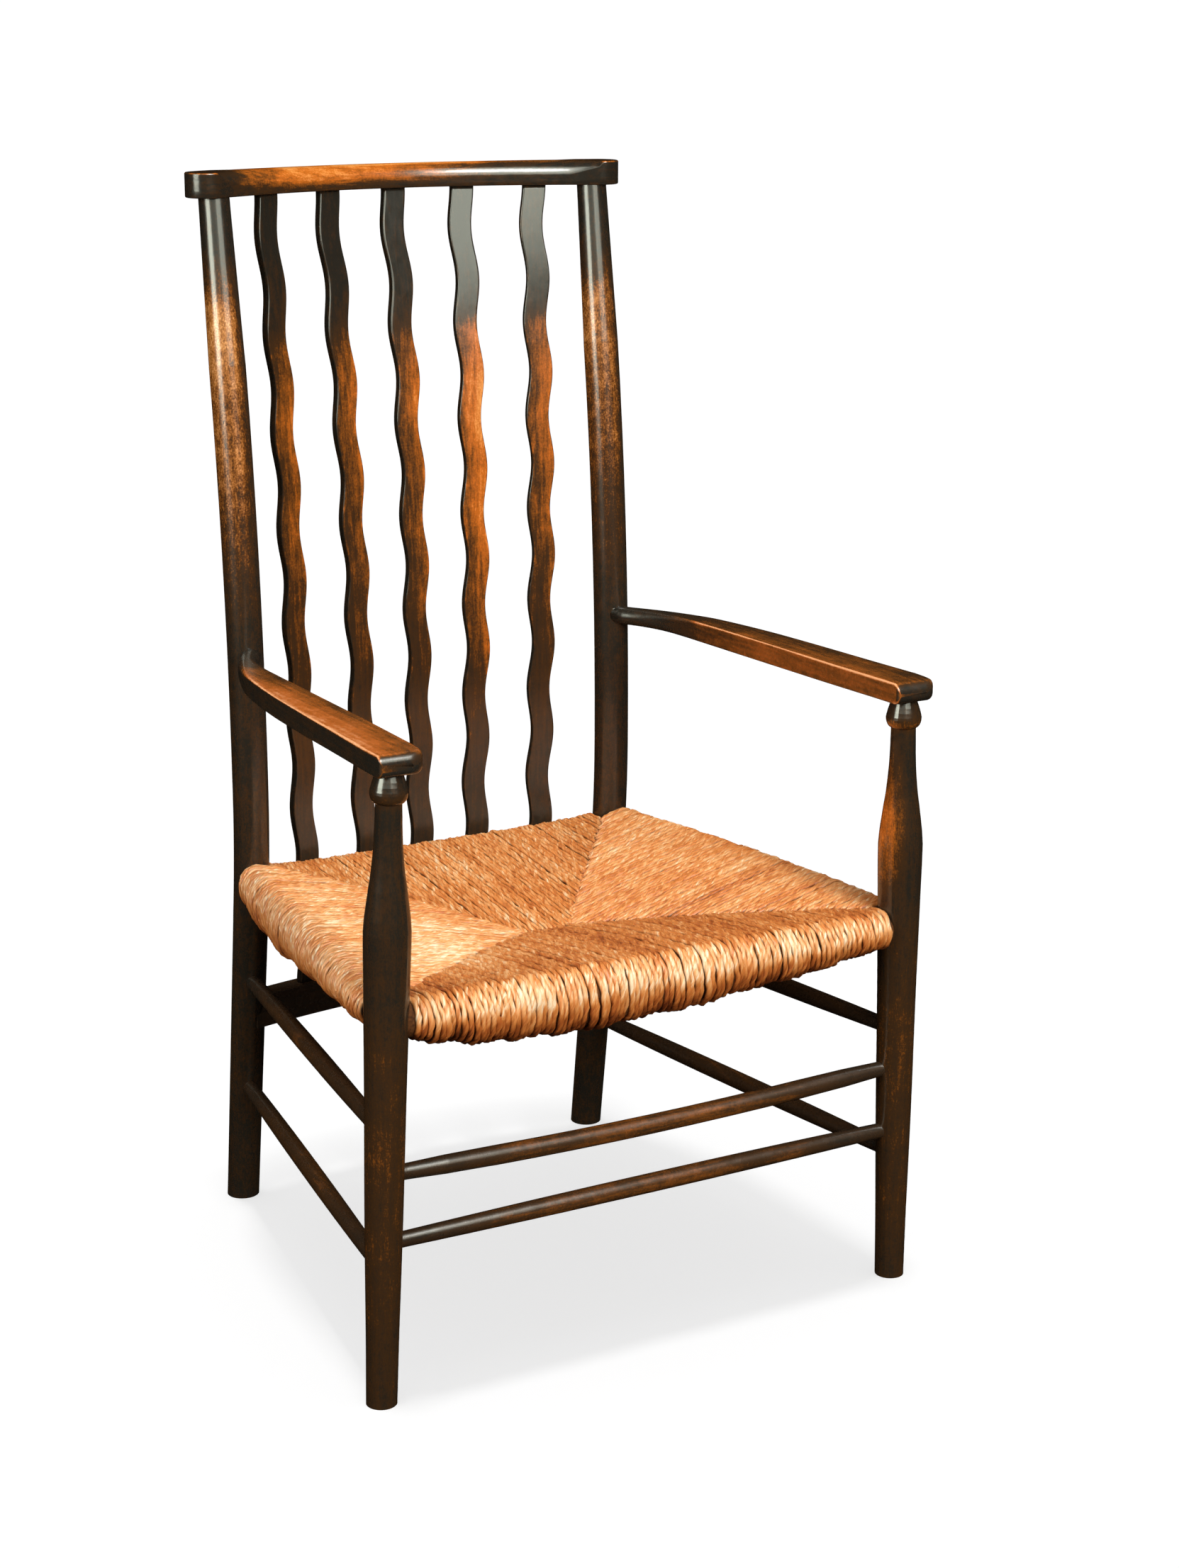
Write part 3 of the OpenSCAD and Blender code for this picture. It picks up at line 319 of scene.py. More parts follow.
# the stain is rubbed through on the inner side of the right front post, just under its waist
RUBBED_BY_Z = [(0.40, 0.0), (0.44, 0.40), (0.49, 0.56), (0.525, 0.44), (0.58, 0.22), (0.60, 0.0)]
RUBBED_BY_X = [(0.20, 0.0), (0.248, 1.0), (0.257, 1.0), (0.264, 0.45), (0.272, 0.0), (0.32, 0.0)]
CREST_BY_X = [(-0.24, 0.04), (-0.205, 0.12), (-0.17, 0.56), (-0.12, 0.80), (-0.02, 0.82), (0.03, 0.64),
              (0.085, 0.48), (0.115, 0.14), (0.24, 0.02)]
CREST_TOP_BY_X = [(-0.24, 0.0), (-0.18, 0.1), (-0.05, 0.1), (0.04, 0.40), (0.17, 0.52), (0.215, 0.2),
                  (0.24, 0.0)]
# how much of it shows from the bottom (0) to the top (1) of the crest rail
CREST_BY_RISE = [(0.0, 0.15), (0.2, 0.45), (0.5, 0.95), (1.0, 1.0)]
ARM_BY_Y = [(-0.32, 0.80), (-0.20, 0.88), (-0.05, 0.84), (0.06, 0.66), (0.10, 0.40), (0.13, 0.10),
            (0.20, 0.0)]
ARM_EDGE_BY_Y = [(-0.32, 0.62), (0.02, 0.55), (0.09, 0.15), (0.12, 0.0), (0.20, 0.0)]


def mix_rgb(a, b, t):
    return tuple(mix(p, q, t) for p, q in zip(a, b))


def wood(name, axis, fade, fleck=1.0, gloss=0.21, worn=None, pale=(AMBER, HONEY), grain=1.0):
    """axis is the way the grain runs (0, 1 or 2). fade(t, x, y, z) gives how far the dark stain has
    faded, and worn(t, mottle) what its edges add."""
    mat, t, shader = material(name)
    where = t.coordinate()
    x, y, z = t.parts(where)

    def along_grain(stretch):
        return t.stretched([stretch if k == axis else 1.0 for k in range(3)], where)
    streak = t.noise(along_grain(STREAK_STRETCH), 260, 4, 0.55, 0.3)
    dash = t.noise(along_grain(DASH_STRETCH), 1150, 2, 0.6)
    cloud = t.noise(where, 17, 3, 0.55)
    mottle = t.noise(where, 95, 4, 0.62)
    speck = t.noise(where, 520, 2, 0.6)
    faded = fade(t, x, y, z)
    for source, size in ((cloud, 0.30), (mottle, 0.26 * fleck), (streak, 0.48 * grain),
                         (speck, 0.34 * fleck), (dash, 0.30 * fleck)):
        faded = t.swing(faded, source, size)
    if worn:
        faded = t.math("ADD", faded, worn(t, mottle))
    t.put(shader.inputs["Base Color"], t.ramp(faded, [
        (0.0, EBONY), (0.2, mix_rgb(EBONY, UMBER, 0.6)), (0.38, UMBER), (0.54, RUSSET), (0.78, pale[0]),
        (1.0, pale[1])]))
    t.put(shader.inputs["Roughness"], t.math("ADD", gloss, t.times(mottle, 0.12)))
    shader.inputs["Specular IOR Level"].default_value = 0.5
    t.bump(shader, t.math("ADD", t.times(streak, 0.7), t.times(mottle, 0.5)), 0.16, 0.0006)
    return mat


def band(t, value, stops):
    """A smooth curve through (place in metres, value 0 to 1)."""
    low, high = stops[0][0], stops[-1][0]
    return t.ramp(t.scaled(value, low, high), [((at - low) / (high - low), v) for at, v in stops], "EASE")


def fade_splat(t, x, y, z):
    up = band(t, t.math("SUBTRACT", z, t.times(x, 0.03)), SPLAT_BY_Z)
    up = t.math("ADD", up, t.times(t.scaled(up, 0.1, 0.5), band(t, x, SPLAT_BY_X)))
    return t.times(up, t.scaled(t.attribute("shade"), 0.2, 1.0, 0.1, 1.0))


def worn_splat(t, mottle):
    return t.times(t.attribute("edge"), t.scaled(mottle, 0.45, 0.7, 0.0, 0.22))


def fade_and_painted_shade_back_post(t, x, y, z):
    """Faded gold by height and post, with painted shade that darkens the posts' right sides."""
    right_side_for_painted_shade = t.parts(t.coordinate("Normal"))[0]
    up = t.times(band(t, z, BACK_POST_BY_Z), band(t, x, BACK_POST_BY_X))
    return t.times(up, t.scaled(right_side_for_painted_shade, 0.15, 0.75, 1.0, 0.30))


# faded stain, the rubbed patch, and the painted reflection on the bead
def fade_and_reflection_front_post(t, x, y, z):
    rubbed = t.times(band(t, z, RUBBED_BY_Z), band(t, x, RUBBED_BY_X))
    return t.math("ADD", band(t, z, FRONT_POST_FADE_AND_REFLECTION_BY_Z), rubbed)


def fade_across(reach, low, high):
    """Lightest halfway along a piece that runs from side to side."""
    stops = [(0.0, high), (reach * 0.55, mix(low, high, 0.7)), (reach * 0.85, low), (reach, low * 0.8)]
    return lambda t, x, y, z: band(t, t.math("ABSOLUTE", x), stops)


def fade_along_y(low_y, high_y, low, high):
    """Lightest halfway along a piece that runs from front to back."""
    shares = ((0, 0), (0.2, 0.6), (0.5, 1), (0.8, 0.6), (1, 0))
    stops = [(mix(low_y, high_y, at), mix(low, high, light)) for at, light in shares]
    return lambda t, x, y, z: band(t, y, stops)


def fade_crest(t, x, y, z):
    rise = t.attribute("high")
    faded = t.times(band(t, x, CREST_BY_X), band(t, rise, CREST_BY_RISE))
    return t.math("ADD", faded, t.times(band(t, x, CREST_TOP_BY_X), t.scaled(rise, 0.90, 1.0)))


def worn_crest(t, mottle):
    return t.times(t.times(t.attribute("edge"), t.scaled(mottle, 0.3, 0.7, 0.35, 1.25)), 0.5)


def fade_arm(t, x, y, z):
    along = band(t, t.math("ADD", y, t.times(x, 0.06)), ARM_BY_Y)
    return t.times(along, t.scaled(t.attribute("shade"), 0.0, 1.0))


def worn_arm(t, mottle):
    along = band(t, t.parts(t.coordinate())[1], ARM_EDGE_BY_Y)
    return t.times(t.times(t.attribute("edge"), along), t.scaled(mottle, 0.2, 0.6, 0.75, 1.15))


mat_splat = wood("stained_splats", 2, fade_splat, gloss=0.12, worn=worn_splat, grain=1.5)
mat_back = wood("stained_and_shaded_back_posts", 2, fade_and_painted_shade_back_post, fleck=2.0, gloss=0.15, pale=POST_GOLD)
mat_front = wood("stained_front_posts_bead_reflection", 2, fade_and_reflection_front_post, fleck=1.3, gloss=0.12)
mat_crest = wood("stained_crest", 0, fade_crest, gloss=0.13, worn=worn_crest, grain=1.5)
mat_arm = wood("stained_arms", 1, fade_arm, fleck=0.8, worn=worn_arm, pale=ARM_RED)
mat_rail = wood("stained_splat_rail", 0, fade_across(0.22, 0.12, 0.24))
mat_front_stretch = wood("stained_front_stretchers", 0, fade_across(0.28, 0.16, 0.46), fleck=0.7)
mat_side_stretch = wood("stained_side_stretchers", 1, fade_along_y(-0.26, 0.20, 0.12, 0.34), fleck=0.45)


def raw_wood():
    mat, t, shader = material("raw_rails")
    grain = t.noise(t.stretched((0.2, 0.2, 1.0), t.coordinate()), 220, 4, 0.6)
    t.put(shader.inputs["Base Color"], t.ramp(grain, [(0.3, (0.30, 0.19, 0.09)), (0.7, (0.55, 0.38, 0.21))]))
    shader.inputs["Roughness"].default_value = 0.75
    t.bump(shader, grain, 0.3, 0.0005)
    return mat


def stuffing_straw():
    mat, t, shader = material("packed_straw")
    stems = t.noise(t.stretched((1.0, 0.15, 1.0), t.coordinate()), 420, 4, 0.65, 0.8)
    t.put(shader.inputs["Base Color"], t.ramp(stems, [
        (0.3, (0.12, 0.07, 0.03)), (0.55, (0.42, 0.27, 0.11)), (0.75, (0.66, 0.49, 0.25))]))
    shader.inputs["Roughness"].default_value = 0.85
    t.bump(shader, stems, 0.7, 0.002)
    return mat


mat_raw, mat_straw = raw_wood(), stuffing_straw()


def dress(node, mat):
    mesh = nodes[node].data
    mesh.materials.clear()
    mesh.materials.append(mat)


for side in ("left", "right"):
    dress("back_post_" + side, mat_back)
    dress("front_post_" + side, mat_front)
    dress("stretcher_%s_upper" % side, mat_side_stretch)
    dress("stretcher_%s_lower" % side, mat_side_stretch)
for end in ("front", "back", "left", "right"):
    dress("seat_rail_" + end, mat_raw)
    dress("stuffing_" + end, mat_straw)
for k in ("upper", "lower"):
    dress("stretcher_front_" + k, mat_front_stretch)
dress("splat_rail", mat_rail)


# -------------------------------- splats: flat strips, waved along both edges
LOW_END_Y = back_y(RAIL_Z + RAIL_TALL / 2) - RAIL_FORWARD
LOW_ARC_R = (BACK_X ** 2 + RAIL_BOW ** 2) / (2 * RAIL_BOW)
LOW_ARC_Y = LOW_END_Y + RAIL_BOW - LOW_ARC_R
RAIL_TOP = RAIL_Z + RAIL_TALL
SPLAT_EDGE_R, SPLAT_ROWS, SPLAT_END_GAP = 1.3, 206, 0.05
# how much of its fade a splat shows at its front left edge: round the corner, and just beside it
CORNER_SHADE, BESIDE_SHADE = 0.7, 0.72


def splat_section(w, d, r, steps=3, inset=2.2):
    """A rounded rectangle with an extra point beside each corner, so wear stays on the edge."""
    pts, edge, flat = [], [], []
    corners = ((1, 1, 0), (-1, 1, 90), (-1, -1, 180), (1, -1, 270))
    for n, (cx, cy, a0) in enumerate(corners):
        for k in range(steps + 1):
            a = math.radians(a0 + 90 * k / steps)
            pts.append((cx * (w / 2 - r) + r * math.cos(a), cy * (d / 2 - r) + r * math.sin(a)))
            edge.append(1.0)
            flat.append((abs(math.sin(a)) ** 2) * (CORNER_SHADE if n == 2 else 1.0))
        if n in (0, 2):
            pts += [(cx * (w / 2 - inset), cy * d / 2), (-cx * (w / 2 - inset), cy * d / 2)]
            edge += [0.0, 0.0]
            flat += [BESIDE_SHADE, 1.0] if n == 2 else [1.0, 1.0]
        else:
            pts.append((cx * w / 2, 0.0))
            edge.append(0.0)
            flat.append(0.0)
    return pts, edge, flat


def splat(i):
    section, edge, flat = splat_section(SPLAT_WIDTH, SPLAT_THICK, SPLAT_EDGE_R)
    low_x, high_x = LOW_X[i], HIGH_X[i]
    low_y, high_y = arc_y(low_x, LOW_ARC_R, LOW_ARC_Y), arc_y(high_x, SPLAT_ARC_R, SPLAT_ARC_Y)
    verts = []
    for k in range(SPLAT_ROWS + 1):
        z = mix(CREST_Z - SPLAT_END_GAP, RAIL_TOP + SPLAT_END_GAP, k / SPLAT_ROWS)
        share = (z - RAIL_TOP) / (CREST_Z - RAIL_TOP)
        turn = -mix(math.asin(low_x / LOW_ARC_R), math.asin(high_x / SPLAT_ARC_R), share)
        cx = mix(low_x, high_x, share)
        cy = mix(low_y, high_y, max(0.0, (z - SPLAT_BEND_Z) / (CREST_Z - SPLAT_BEND_Z)) ** 2)
        sway = WAVE_SIZE * math.cos(2 * math.pi * (CREST_Z - WAVE_START - z) / WAVE_LENGTH)
        for u, v in section:
            u += sway
            verts.append((cx + u * math.cos(turn) - v * math.sin(turn),
                          cy + u * math.sin(turn) + v * math.cos(turn), z))
    rows = SPLAT_ROWS + 1
    name = "splat_%d" % (i + 1)
    piece(name + "_shaped", verts, turned_over(ring_faces(rows, len(section))), mat_splat, name,
          {"edge": edge * rows, "shade": flat * rows})


for i in range(5):
    splat(i)

# -------------------------------- crest rail: a bow, its roll fades out at the posts
CREST_UNDER_R, CREST_EDGE_R, CREST_CREASE = 1.5, 1.6, math.radians(36)
# rows of points up the rail: round its lower edge and its top edge by angle, between them by share
CREST_ROWS = ([("under", a) for a in (0, 30, 60, 90)] + [("side", t) for t in (0.3, 0.6, 0.85, 0.97)]
              + [("top", a) for a in (0, 6, 15, 26, 38, 50, 62, 74, 84, 90)])


def crest_rail():
    arc, cap = 120, 18
    tip, front, back = np.array([TIP_X, TIP_Y]), np.array([0, SPLAT_ARC_Y]), np.array([0, BACK_ARC_Y])
    touch_a, touch_b = math.atan2(*(tip - front)), math.atan2(*(tip - back))
    start = math.atan2(-math.cos(touch_a), -math.sin(touch_a))
    end = math.atan2(math.cos(touch_b), math.sin(touch_b))
    outline = []
    for k in range(arc + 1):
        a = mix(-touch_a, touch_a, k / arc)
        n = np.array([-math.sin(a), -math.cos(a)])
        outline.append((front - n * FRONT_ARC_R, n, "front"))
    for k in range(1, cap):
        a = mix(start, end, k / cap)
        n = np.array([math.cos(a), math.sin(a)])
        outline.append((tip + n * CREST_END_R, n, "end"))
    for k in range(arc + 1):
        a = mix(touch_b, -touch_b, k / arc)
        n = np.array([math.sin(a), math.cos(a)])
        outline.append((back + n * BACK_ARC_R, n, "back"))
    for k in range(1, cap):
        a = mix(math.pi - end, math.pi - start, k / cap)
        n = np.array([math.cos(a), math.sin(a)])
        outline.append((np.array([-TIP_X, TIP_Y]) + n * CREST_END_R, n, "end"))

    def roll(x, full_r, flat_half, flare):
        """Radius of the top edge at x: full over the middle, and down to a plain edge at each end."""
        left = min(1.0, max(0.0, (CREST_ROLL_HALF + flare - abs(x)) / (CREST_ROLL_HALF + flare - flat_half)))
        return mix(CREST_EDGE_R, full_r, left)

    def top_radius(x, part):
        if part == "front":
            return roll(x, CREST_ROLL_R, CREST_ROLL_HALF - 4, CREST_ROLL_FLARE)
        if part == "back":
            return roll(x, CREST_BACK_ROLL_R, CREST_ROLL_HALF, CREST_ROLL_FLARE / 2)
        return CREST_EDGE_R
    top_r = [top_radius(p[0], part) for p, n, part in outline]
    verts, edge, high = [], [], []
    for kind, v in CREST_ROWS:
        for (p, n, part), r in zip(outline, top_r):
            if kind == "under":
                a = math.radians(v)
                inset, z = CREST_UNDER_R * (1 - math.sin(a)), CREST_Z + CREST_UNDER_R * (1 - math.cos(a))
                e = 0.25
            elif kind == "side":
                inset, z = 0.0, mix(CREST_Z + CREST_UNDER_R, TOTAL_HEIGHT - r, v)
                e = 0.0
            else:
                # towards its ends the front roll starts with a crease
                plain = min(1.0, (CREST_ROLL_R - r) / (CREST_ROLL_R - CREST_EDGE_R))
                crease = CREST_CREASE * plain if part == "front" else 0.0
                a = mix(crease, math.pi / 2, v / 90)
                size = r / (1 - math.sin(crease))
                inset, z = size * (math.cos(crease) - math.cos(a)), TOTAL_HEIGHT - size * (1 - math.sin(a))
                e = max(0.0, 1 - (r - CREST_EDGE_R) / 3.0) * (1.0 if 10 < v < 80 else 0.35)
            q = p - n * inset
            verts.append((q[0], q[1], z))
            edge.append(e)
            high.append((z - CREST_Z) / CREST_THICK)
    n = len(outline)
    faces = ring_faces(len(CREST_ROWS), n, caps=False)
    # top and bottom: strips from front to back, and round each end from the middle out
    for base, flip in ((0, True), ((len(CREST_ROWS) - 1) * n, False)):
        pairs = [(base + k, base + arc + cap + arc - k) for k in range(arc + 1)]
        quads = [(pairs[k][0], pairs[k + 1][0], pairs[k + 1][1], pairs[k][1]) for k in range(arc)]
        right = [base + arc + k for k in range(cap + 1)]
        left = [base + (2 * arc + cap + k) % n for k in range(cap + 1)]
        for side in (right, left):
            m = len(side)
            for k in range(m // 2):
                quads.append(tuple(dict.fromkeys((side[k], side[k + 1], side[m - 2 - k], side[m - 1 - k]))))
        quads = [q for q in quads if len(q) > 2]
        faces += turned_over(quads) if flip else quads
    piece("crest_rail_shaped", verts, faces, mat_crest, "crest_rail",
          {"edge": edge, "high": high})


crest_rail()

# -------------------------------- arms: swept from the rolled front end to the round tenon
# by share of the arm's length from front to back: how far it has come in, its width, how round it is
ARM_INWARD = [[0, 0.03], [0.2, 0.10], [0.38, 0.15], [0.56, 0.215], [0.74, 0.33], [0.82, 0.44],
              [0.88, 0.56], [0.93, 0.71], [0.97, 0.865], [1, 1]]
ARM_TAPER = [[0, 1], [0.2, 0.926], [0.38, 0.846], [0.56, 0.767], [0.74, 0.64], [0.82, 0.55],
             [0.88, 0.47], [0.95, 0.41], [1, 0.39]]
ARM_ROUNDING = [[0, 0], [0.72, 0], [0.97, 1], [1, 1]]
ARM_END_R = ARM_TENON_R + 0.6
# rings of points near the front end, by distance from it
ARM_FRONT_ROWS = (0.0, 0.15, 0.4, 0.8, 1.4, 2.2, 3.2, 4.4, 5.8, 7.2, 8.8, 10.4, 12.5, 16.0, 20.0)
# radius that the round corner's roll has at the front end, and the length over which it dies out
ARM_ROLL_START, ARM_ROLL_RUN = 8.5, 30.0
ARM_SIDE_ROWS, ARM_LAST_ROW, ARM_SUNK_END = 84, 0.985, 6.0
SECTION_STEPS, SECTION_FLAT = 5, 1.1
SECTION_POINTS = 4 * (SECTION_STEPS + 3)
# for the left and the right arm: the end's radii at the outer and inner corner, over the top and below
ARM_END_RADII = (2.2, 14.0, 8.0, 6.0), (13.0, 2.2, 9.4, 8.4)
# how light they are: top by its inner edge, top by its outer edge, inner side, outer side
ARM_SHADES = (0.56, 0.98, 0.35, 0.10), (0.68, 0.46, 0.68, 0.25)


def arm_y(v):
    return mix(ARM_JOINT_Y, ARM_ENTRY[1], v)


def arm_x(v):
    return mix(ARM_X0, ARM_ENTRY[0], smooth(ARM_INWARD, v))


def arm_angle(v):
    if v <= 0:
        return 0.0
    a, b = v - 0.01, min(1, v + 0.01)
    return math.atan2(arm_x(a) - arm_x(b), arm_y(b) - arm_y(a))


def arm_section(x0, x1, z0, z1, radii):
    """The arm's cross-section from its outer top corner round through the inner top, radii in that
    order: point, side faced, corner number and how far round that corner (0 beside it)."""
    limit = 0.4999 * min(x1 - x0, z1 - z0)
    r0, r1, r2, r3 = [min(r, limit) for r in radii]
    flat_x, flat_z = [min(SECTION_FLAT, max(0.004, (size - 2 * max(r0, r1, r2, r3)) * 0.4))
                      for size in (x1 - x0, z1 - z0)]
    corners = ((r0, x1 - r0, z1 - r0), (r1, x0 + r1, z1 - r1), (r2, x0 + r2, z0 + r2), (r3, x1 - r3, z0 + r3))
    pts = []
    for q, (r, cx, cz) in enumerate(corners):
        row = []
        for k in range(SECTION_STEPS + 1):
            a = math.radians(90 * (q + k / SECTION_STEPS))
            at = math.sin(math.pi * (k + 0.6) / (SECTION_STEPS + 1.2))
            row.append((cx + r * math.cos(a), cz + r * math.sin(a), math.cos(a), math.sin(a), q, at))
        before = ((0, -flat_z), (flat_x, 0), (0, flat_z), (-flat_x, 0))[q]
        after = ((-flat_x, 0), (0, -flat_z), (flat_x, 0), (0, flat_z))[q]
        first, last = [(p[0] + dx, p[1] + dz, p[2], p[3], q, 0.0)
                       for p, (dx, dz) in ((row[0], before), (row[-1], after))]
        pts += [first] + row + [last]
    return pts


def cut_back(d, r):
    return 0.0 if d >= r else r - math.sqrt(r * r - (r - d) ** 2)


def arm(left):
    """Seen from the front, each arm's left corner is crisp and worn, its right corner round."""
    verts, edge, shade = [], [], []
    r_outer, r_inner, r_top, r_under = ARM_END_RADII[0 if left else 1]
    top_in, top_out, side_in, side_out = ARM_SHADES[0 if left else 1]
    near = (0, 3) if left else (1, 2)

    def add(c, turn, x0, x1, z0, z1, r, d=99.0):
        """A ring of points, d from the front end, with corners of radius r."""
        # the round corner's roll runs on round the end and dies out along the far side
        soft = mix(ARM_ROLL_START, r, min(1.0, d / ARM_ROLL_RUN) ** 0.7)
        radii = (r, soft, soft, r) if left else (soft, r, r, soft)
        for x, z, out, up, q, at in arm_section(x0, x1, z0, z1, radii):
            verts.append((c[0] + x * math.cos(turn), c[1] + x * math.sin(turn), z))
            top = mix(top_in, top_out, (x - x0) / max(1.0, x1 - x0))
            s = (max(0.0, up) * top + max(0.0, -out) * side_in + max(0.0, out) * side_out
                 + max(0.0, -up) * 0.1)
            tip = min(1.0, max(0.0, (d - 1.8) / 3.5))
            shade.append(s / max(0.5, abs(up) + abs(out)) * mix(0.15, 1.0, tip))
            e = at * (1.0 if q == near[0] else 0.22 if q < 2 else 0.0)
            if d < 10 and q in near:
                e = max(e, at * 0.9, 0.7 * math.exp(-d / 1.5) if abs(out) > 0.7 else 0.0)
            edge.append(e)
    for d in ARM_FRONT_ROWS:
        y = -ARM_FRONT + d
        top = arm_top(y)
        add((arm_x(0), y), 0.0, -ARM_WIDTH / 2 + cut_back(d, r_inner), ARM_WIDTH / 2 - cut_back(d, r_outer),
            top - ARM_THICK + cut_back(d, r_under), top - cut_back(d, r_top), min(ARM_EDGE_R, 0.6 + d), d)
    first = (ARM_FRONT_ROWS[-1] - ARM_FRONT - ARM_JOINT_Y) / (ARM_ENTRY[1] - ARM_JOINT_Y) + 0.02
    for v in np.linspace(max(0.02, first), ARM_LAST_ROW, ARM_SIDE_ROWS):
        k = smooth(ARM_ROUNDING, v)
        w, top = ARM_WIDTH * smooth(ARM_TAPER, v), arm_top(arm_y(v))
        grow, half = k * (ARM_END_R - ARM_THICK / 2), mix(w / 2, ARM_END_R, k)
        add((arm_x(v), arm_y(v)), arm_angle(v), -half, half, top - ARM_THICK - grow, top + grow,
            mix(ARM_EDGE_R, ARM_END_R - 0.01, k))
    end = ARM_ENTRY + ARM_SUNK_END * np.array([-math.sin(ARM_TURN), math.cos(ARM_TURN), 0])
    add(end, ARM_TURN, -ARM_END_R, ARM_END_R, ARM_REAR_Z - ARM_END_R, ARM_REAR_Z + ARM_END_R,
        ARM_END_R - 0.01)
    faces = ring_faces(len(verts) // SECTION_POINTS, SECTION_POINTS)
    verts = np.array(verts)
    if left:
        verts[:, 0] *= -1
    else:
        faces = turned_over(faces)
    name = "arm_left" if left else "arm_right"
    piece(name + "_shaped", verts, faces, mat_arm, name, {"edge": edge, "shade": shade})


arm(True)
arm(False)

# -------------------------------- rush seat: wedges of twisted strands on a bed
corner_f = front_axis(SEAT_HEIGHT - FRONT_RAIL_DROP)
corner_b = back_axis(SEAT_HEIGHT - BACK_RAIL_DROP)
RIDGE_Y = mix(corner_f[1], corner_b[1], RIDGE_SHARE)
CORNERS = np.array([[-corner_f[0], corner_f[1]], [corner_f[0], corner_f[1]],
                    [corner_b[0], corner_b[1]], [-corner_b[0], corner_b[1]]])
RIDGE = np.array([[x, RIDGE_Y] for x in (-RIDGE_HALF, RIDGE_HALF, RIDGE_HALF, -RIDGE_HALF)])
# how far the rush's top and underside lie below the seat's height, by share of each side's length
FRONT_TOP = [[0, 2], [0.5, 2.5], [1, 2]]
FRONT_UNDER = [[0, 39], [0.1, 51], [0.2, 60], [0.3, 64], [0.45, 65], [0.55, 62], [0.67, 57],
               [0.8, 51], [0.9, 45], [1, 39]]
SIDE_TOP = [[0, 2], [0.5, 0], [0.8, 3], [1, 7]]
SIDE_UNDER = [[0, 33], [0.2, 40], [0.4, 48], [0.55, 55], [0.72, 59], [0.88, 54], [1, 46]]
BACK_TOP = [[0, 12], [0.15, 17], [0.5, 18], [0.85, 18], [1, 12]]
BACK_UNDER = [[0, 52], [0.2, 62], [0.5, 68], [0.8, 62], [1, 52]]


def turned(t):
    return [[1 - a, b] for a, b in reversed(t)]


TOP_DROP = [FRONT_TOP, SIDE_TOP, BACK_TOP, turned(SIDE_TOP)]
UNDER = [FRONT_UNDER, SIDE_UNDER, BACK_UNDER, turned(SIDE_UNDER)]
BULGE = [FRONT_BULGE, SIDE_BULGE, BACK_BULGE, SIDE_BULGE]
DISH_ROUND = 0.07
SIDE_NAMES = ["front", "right", "back", "left"]


class Wedge:
    """One side of the seat: u runs along the rail, v in from it, phi round the roll."""

    def __init__(self, i):
        self.i, self.a, b = i, CORNERS[i], CORNERS[(i + 1) % 4]
        self.length = float(np.linalg.norm(b - self.a))
        self.d = (b - self.a) / self.length
        self.out = np.array([self.d[1], -self.d[0]])
        r0, r1 = RIDGE[i], RIDGE[(i + 1) % 4]
        self.u0, self.u1 = float((r0 - self.a) @ self.d), float((r1 - self.a) @ self.d)
        self.depth = float(-(r0 - self.a) @ self.out)

    def reach(self, u):
        """How far in from the rail a strand at u goes before it meets the next wedge."""
        if u < self.u0:
            return self.depth * u / self.u0
        if u > self.u1:
            return self.depth * (self.length - u) / (self.length - self.u1)
        return self.depth

    def share(self, u, t):
        low, high = self.u0 * t, self.length - (self.length - self.u1) * t
        return min(1.0, max(0.0, (u - low) / max(1e-6, high - low)))

    def top(self, u, v):
        t = min(1.0, max(0.0, v / self.depth))
        edge = SEAT_HEIGHT - smooth(TOP_DROP[self.i], self.share(u, t))
        return mix(edge, SEAT_HEIGHT - DISH_DEPTH, t - DISH_ROUND * math.sin(math.pi * t))

    def under(self, u, v):
        t = min(1.0, max(0.0, v / self.depth))
        return mix(SEAT_HEIGHT - smooth(UNDER[self.i], self.share(u, t)), SEAT_HEIGHT - UNDER_DROP, t)

    def swell(self, u):
        return 1 - math.exp(-min(u, self.length - u) / SWELL_RUN)

    def at(self, u, v, z):
        p = self.a + self.d * u - self.out * v
        return np.array([p[0], p[1], z])


FULL_TURN = 6.28


class Waver:
    """A smooth random curve, the same every run."""

    def __init__(self, size, wavelengths):
        self.terms = [(size * rng.uniform(0.5, 1.0) / len(wavelengths) ** 0.5,
                       2 * math.pi / (w * rng.uniform(0.75, 1.3)), rng.uniform(0, FULL_TURN))
                      for w in wavelengths]

    def __call__(self, x):
        return sum(a * np.sin(k * x + p) for a, k, p in self.terms)


# a strand's axis lies this share of its radius under the seat's surface, and it has this many sides
SINK, AROUND = 0.9, 9
# in mm: spacing of a strand's points on top and below, and where its ends dip or rise beside the seam
TOP_STEP, UNDER_STEP, DIP_RUN, RISE_RUN, RISE = 6.5, 13, 7.0, 10.0, 4.0
ROLL_STEPS = 15


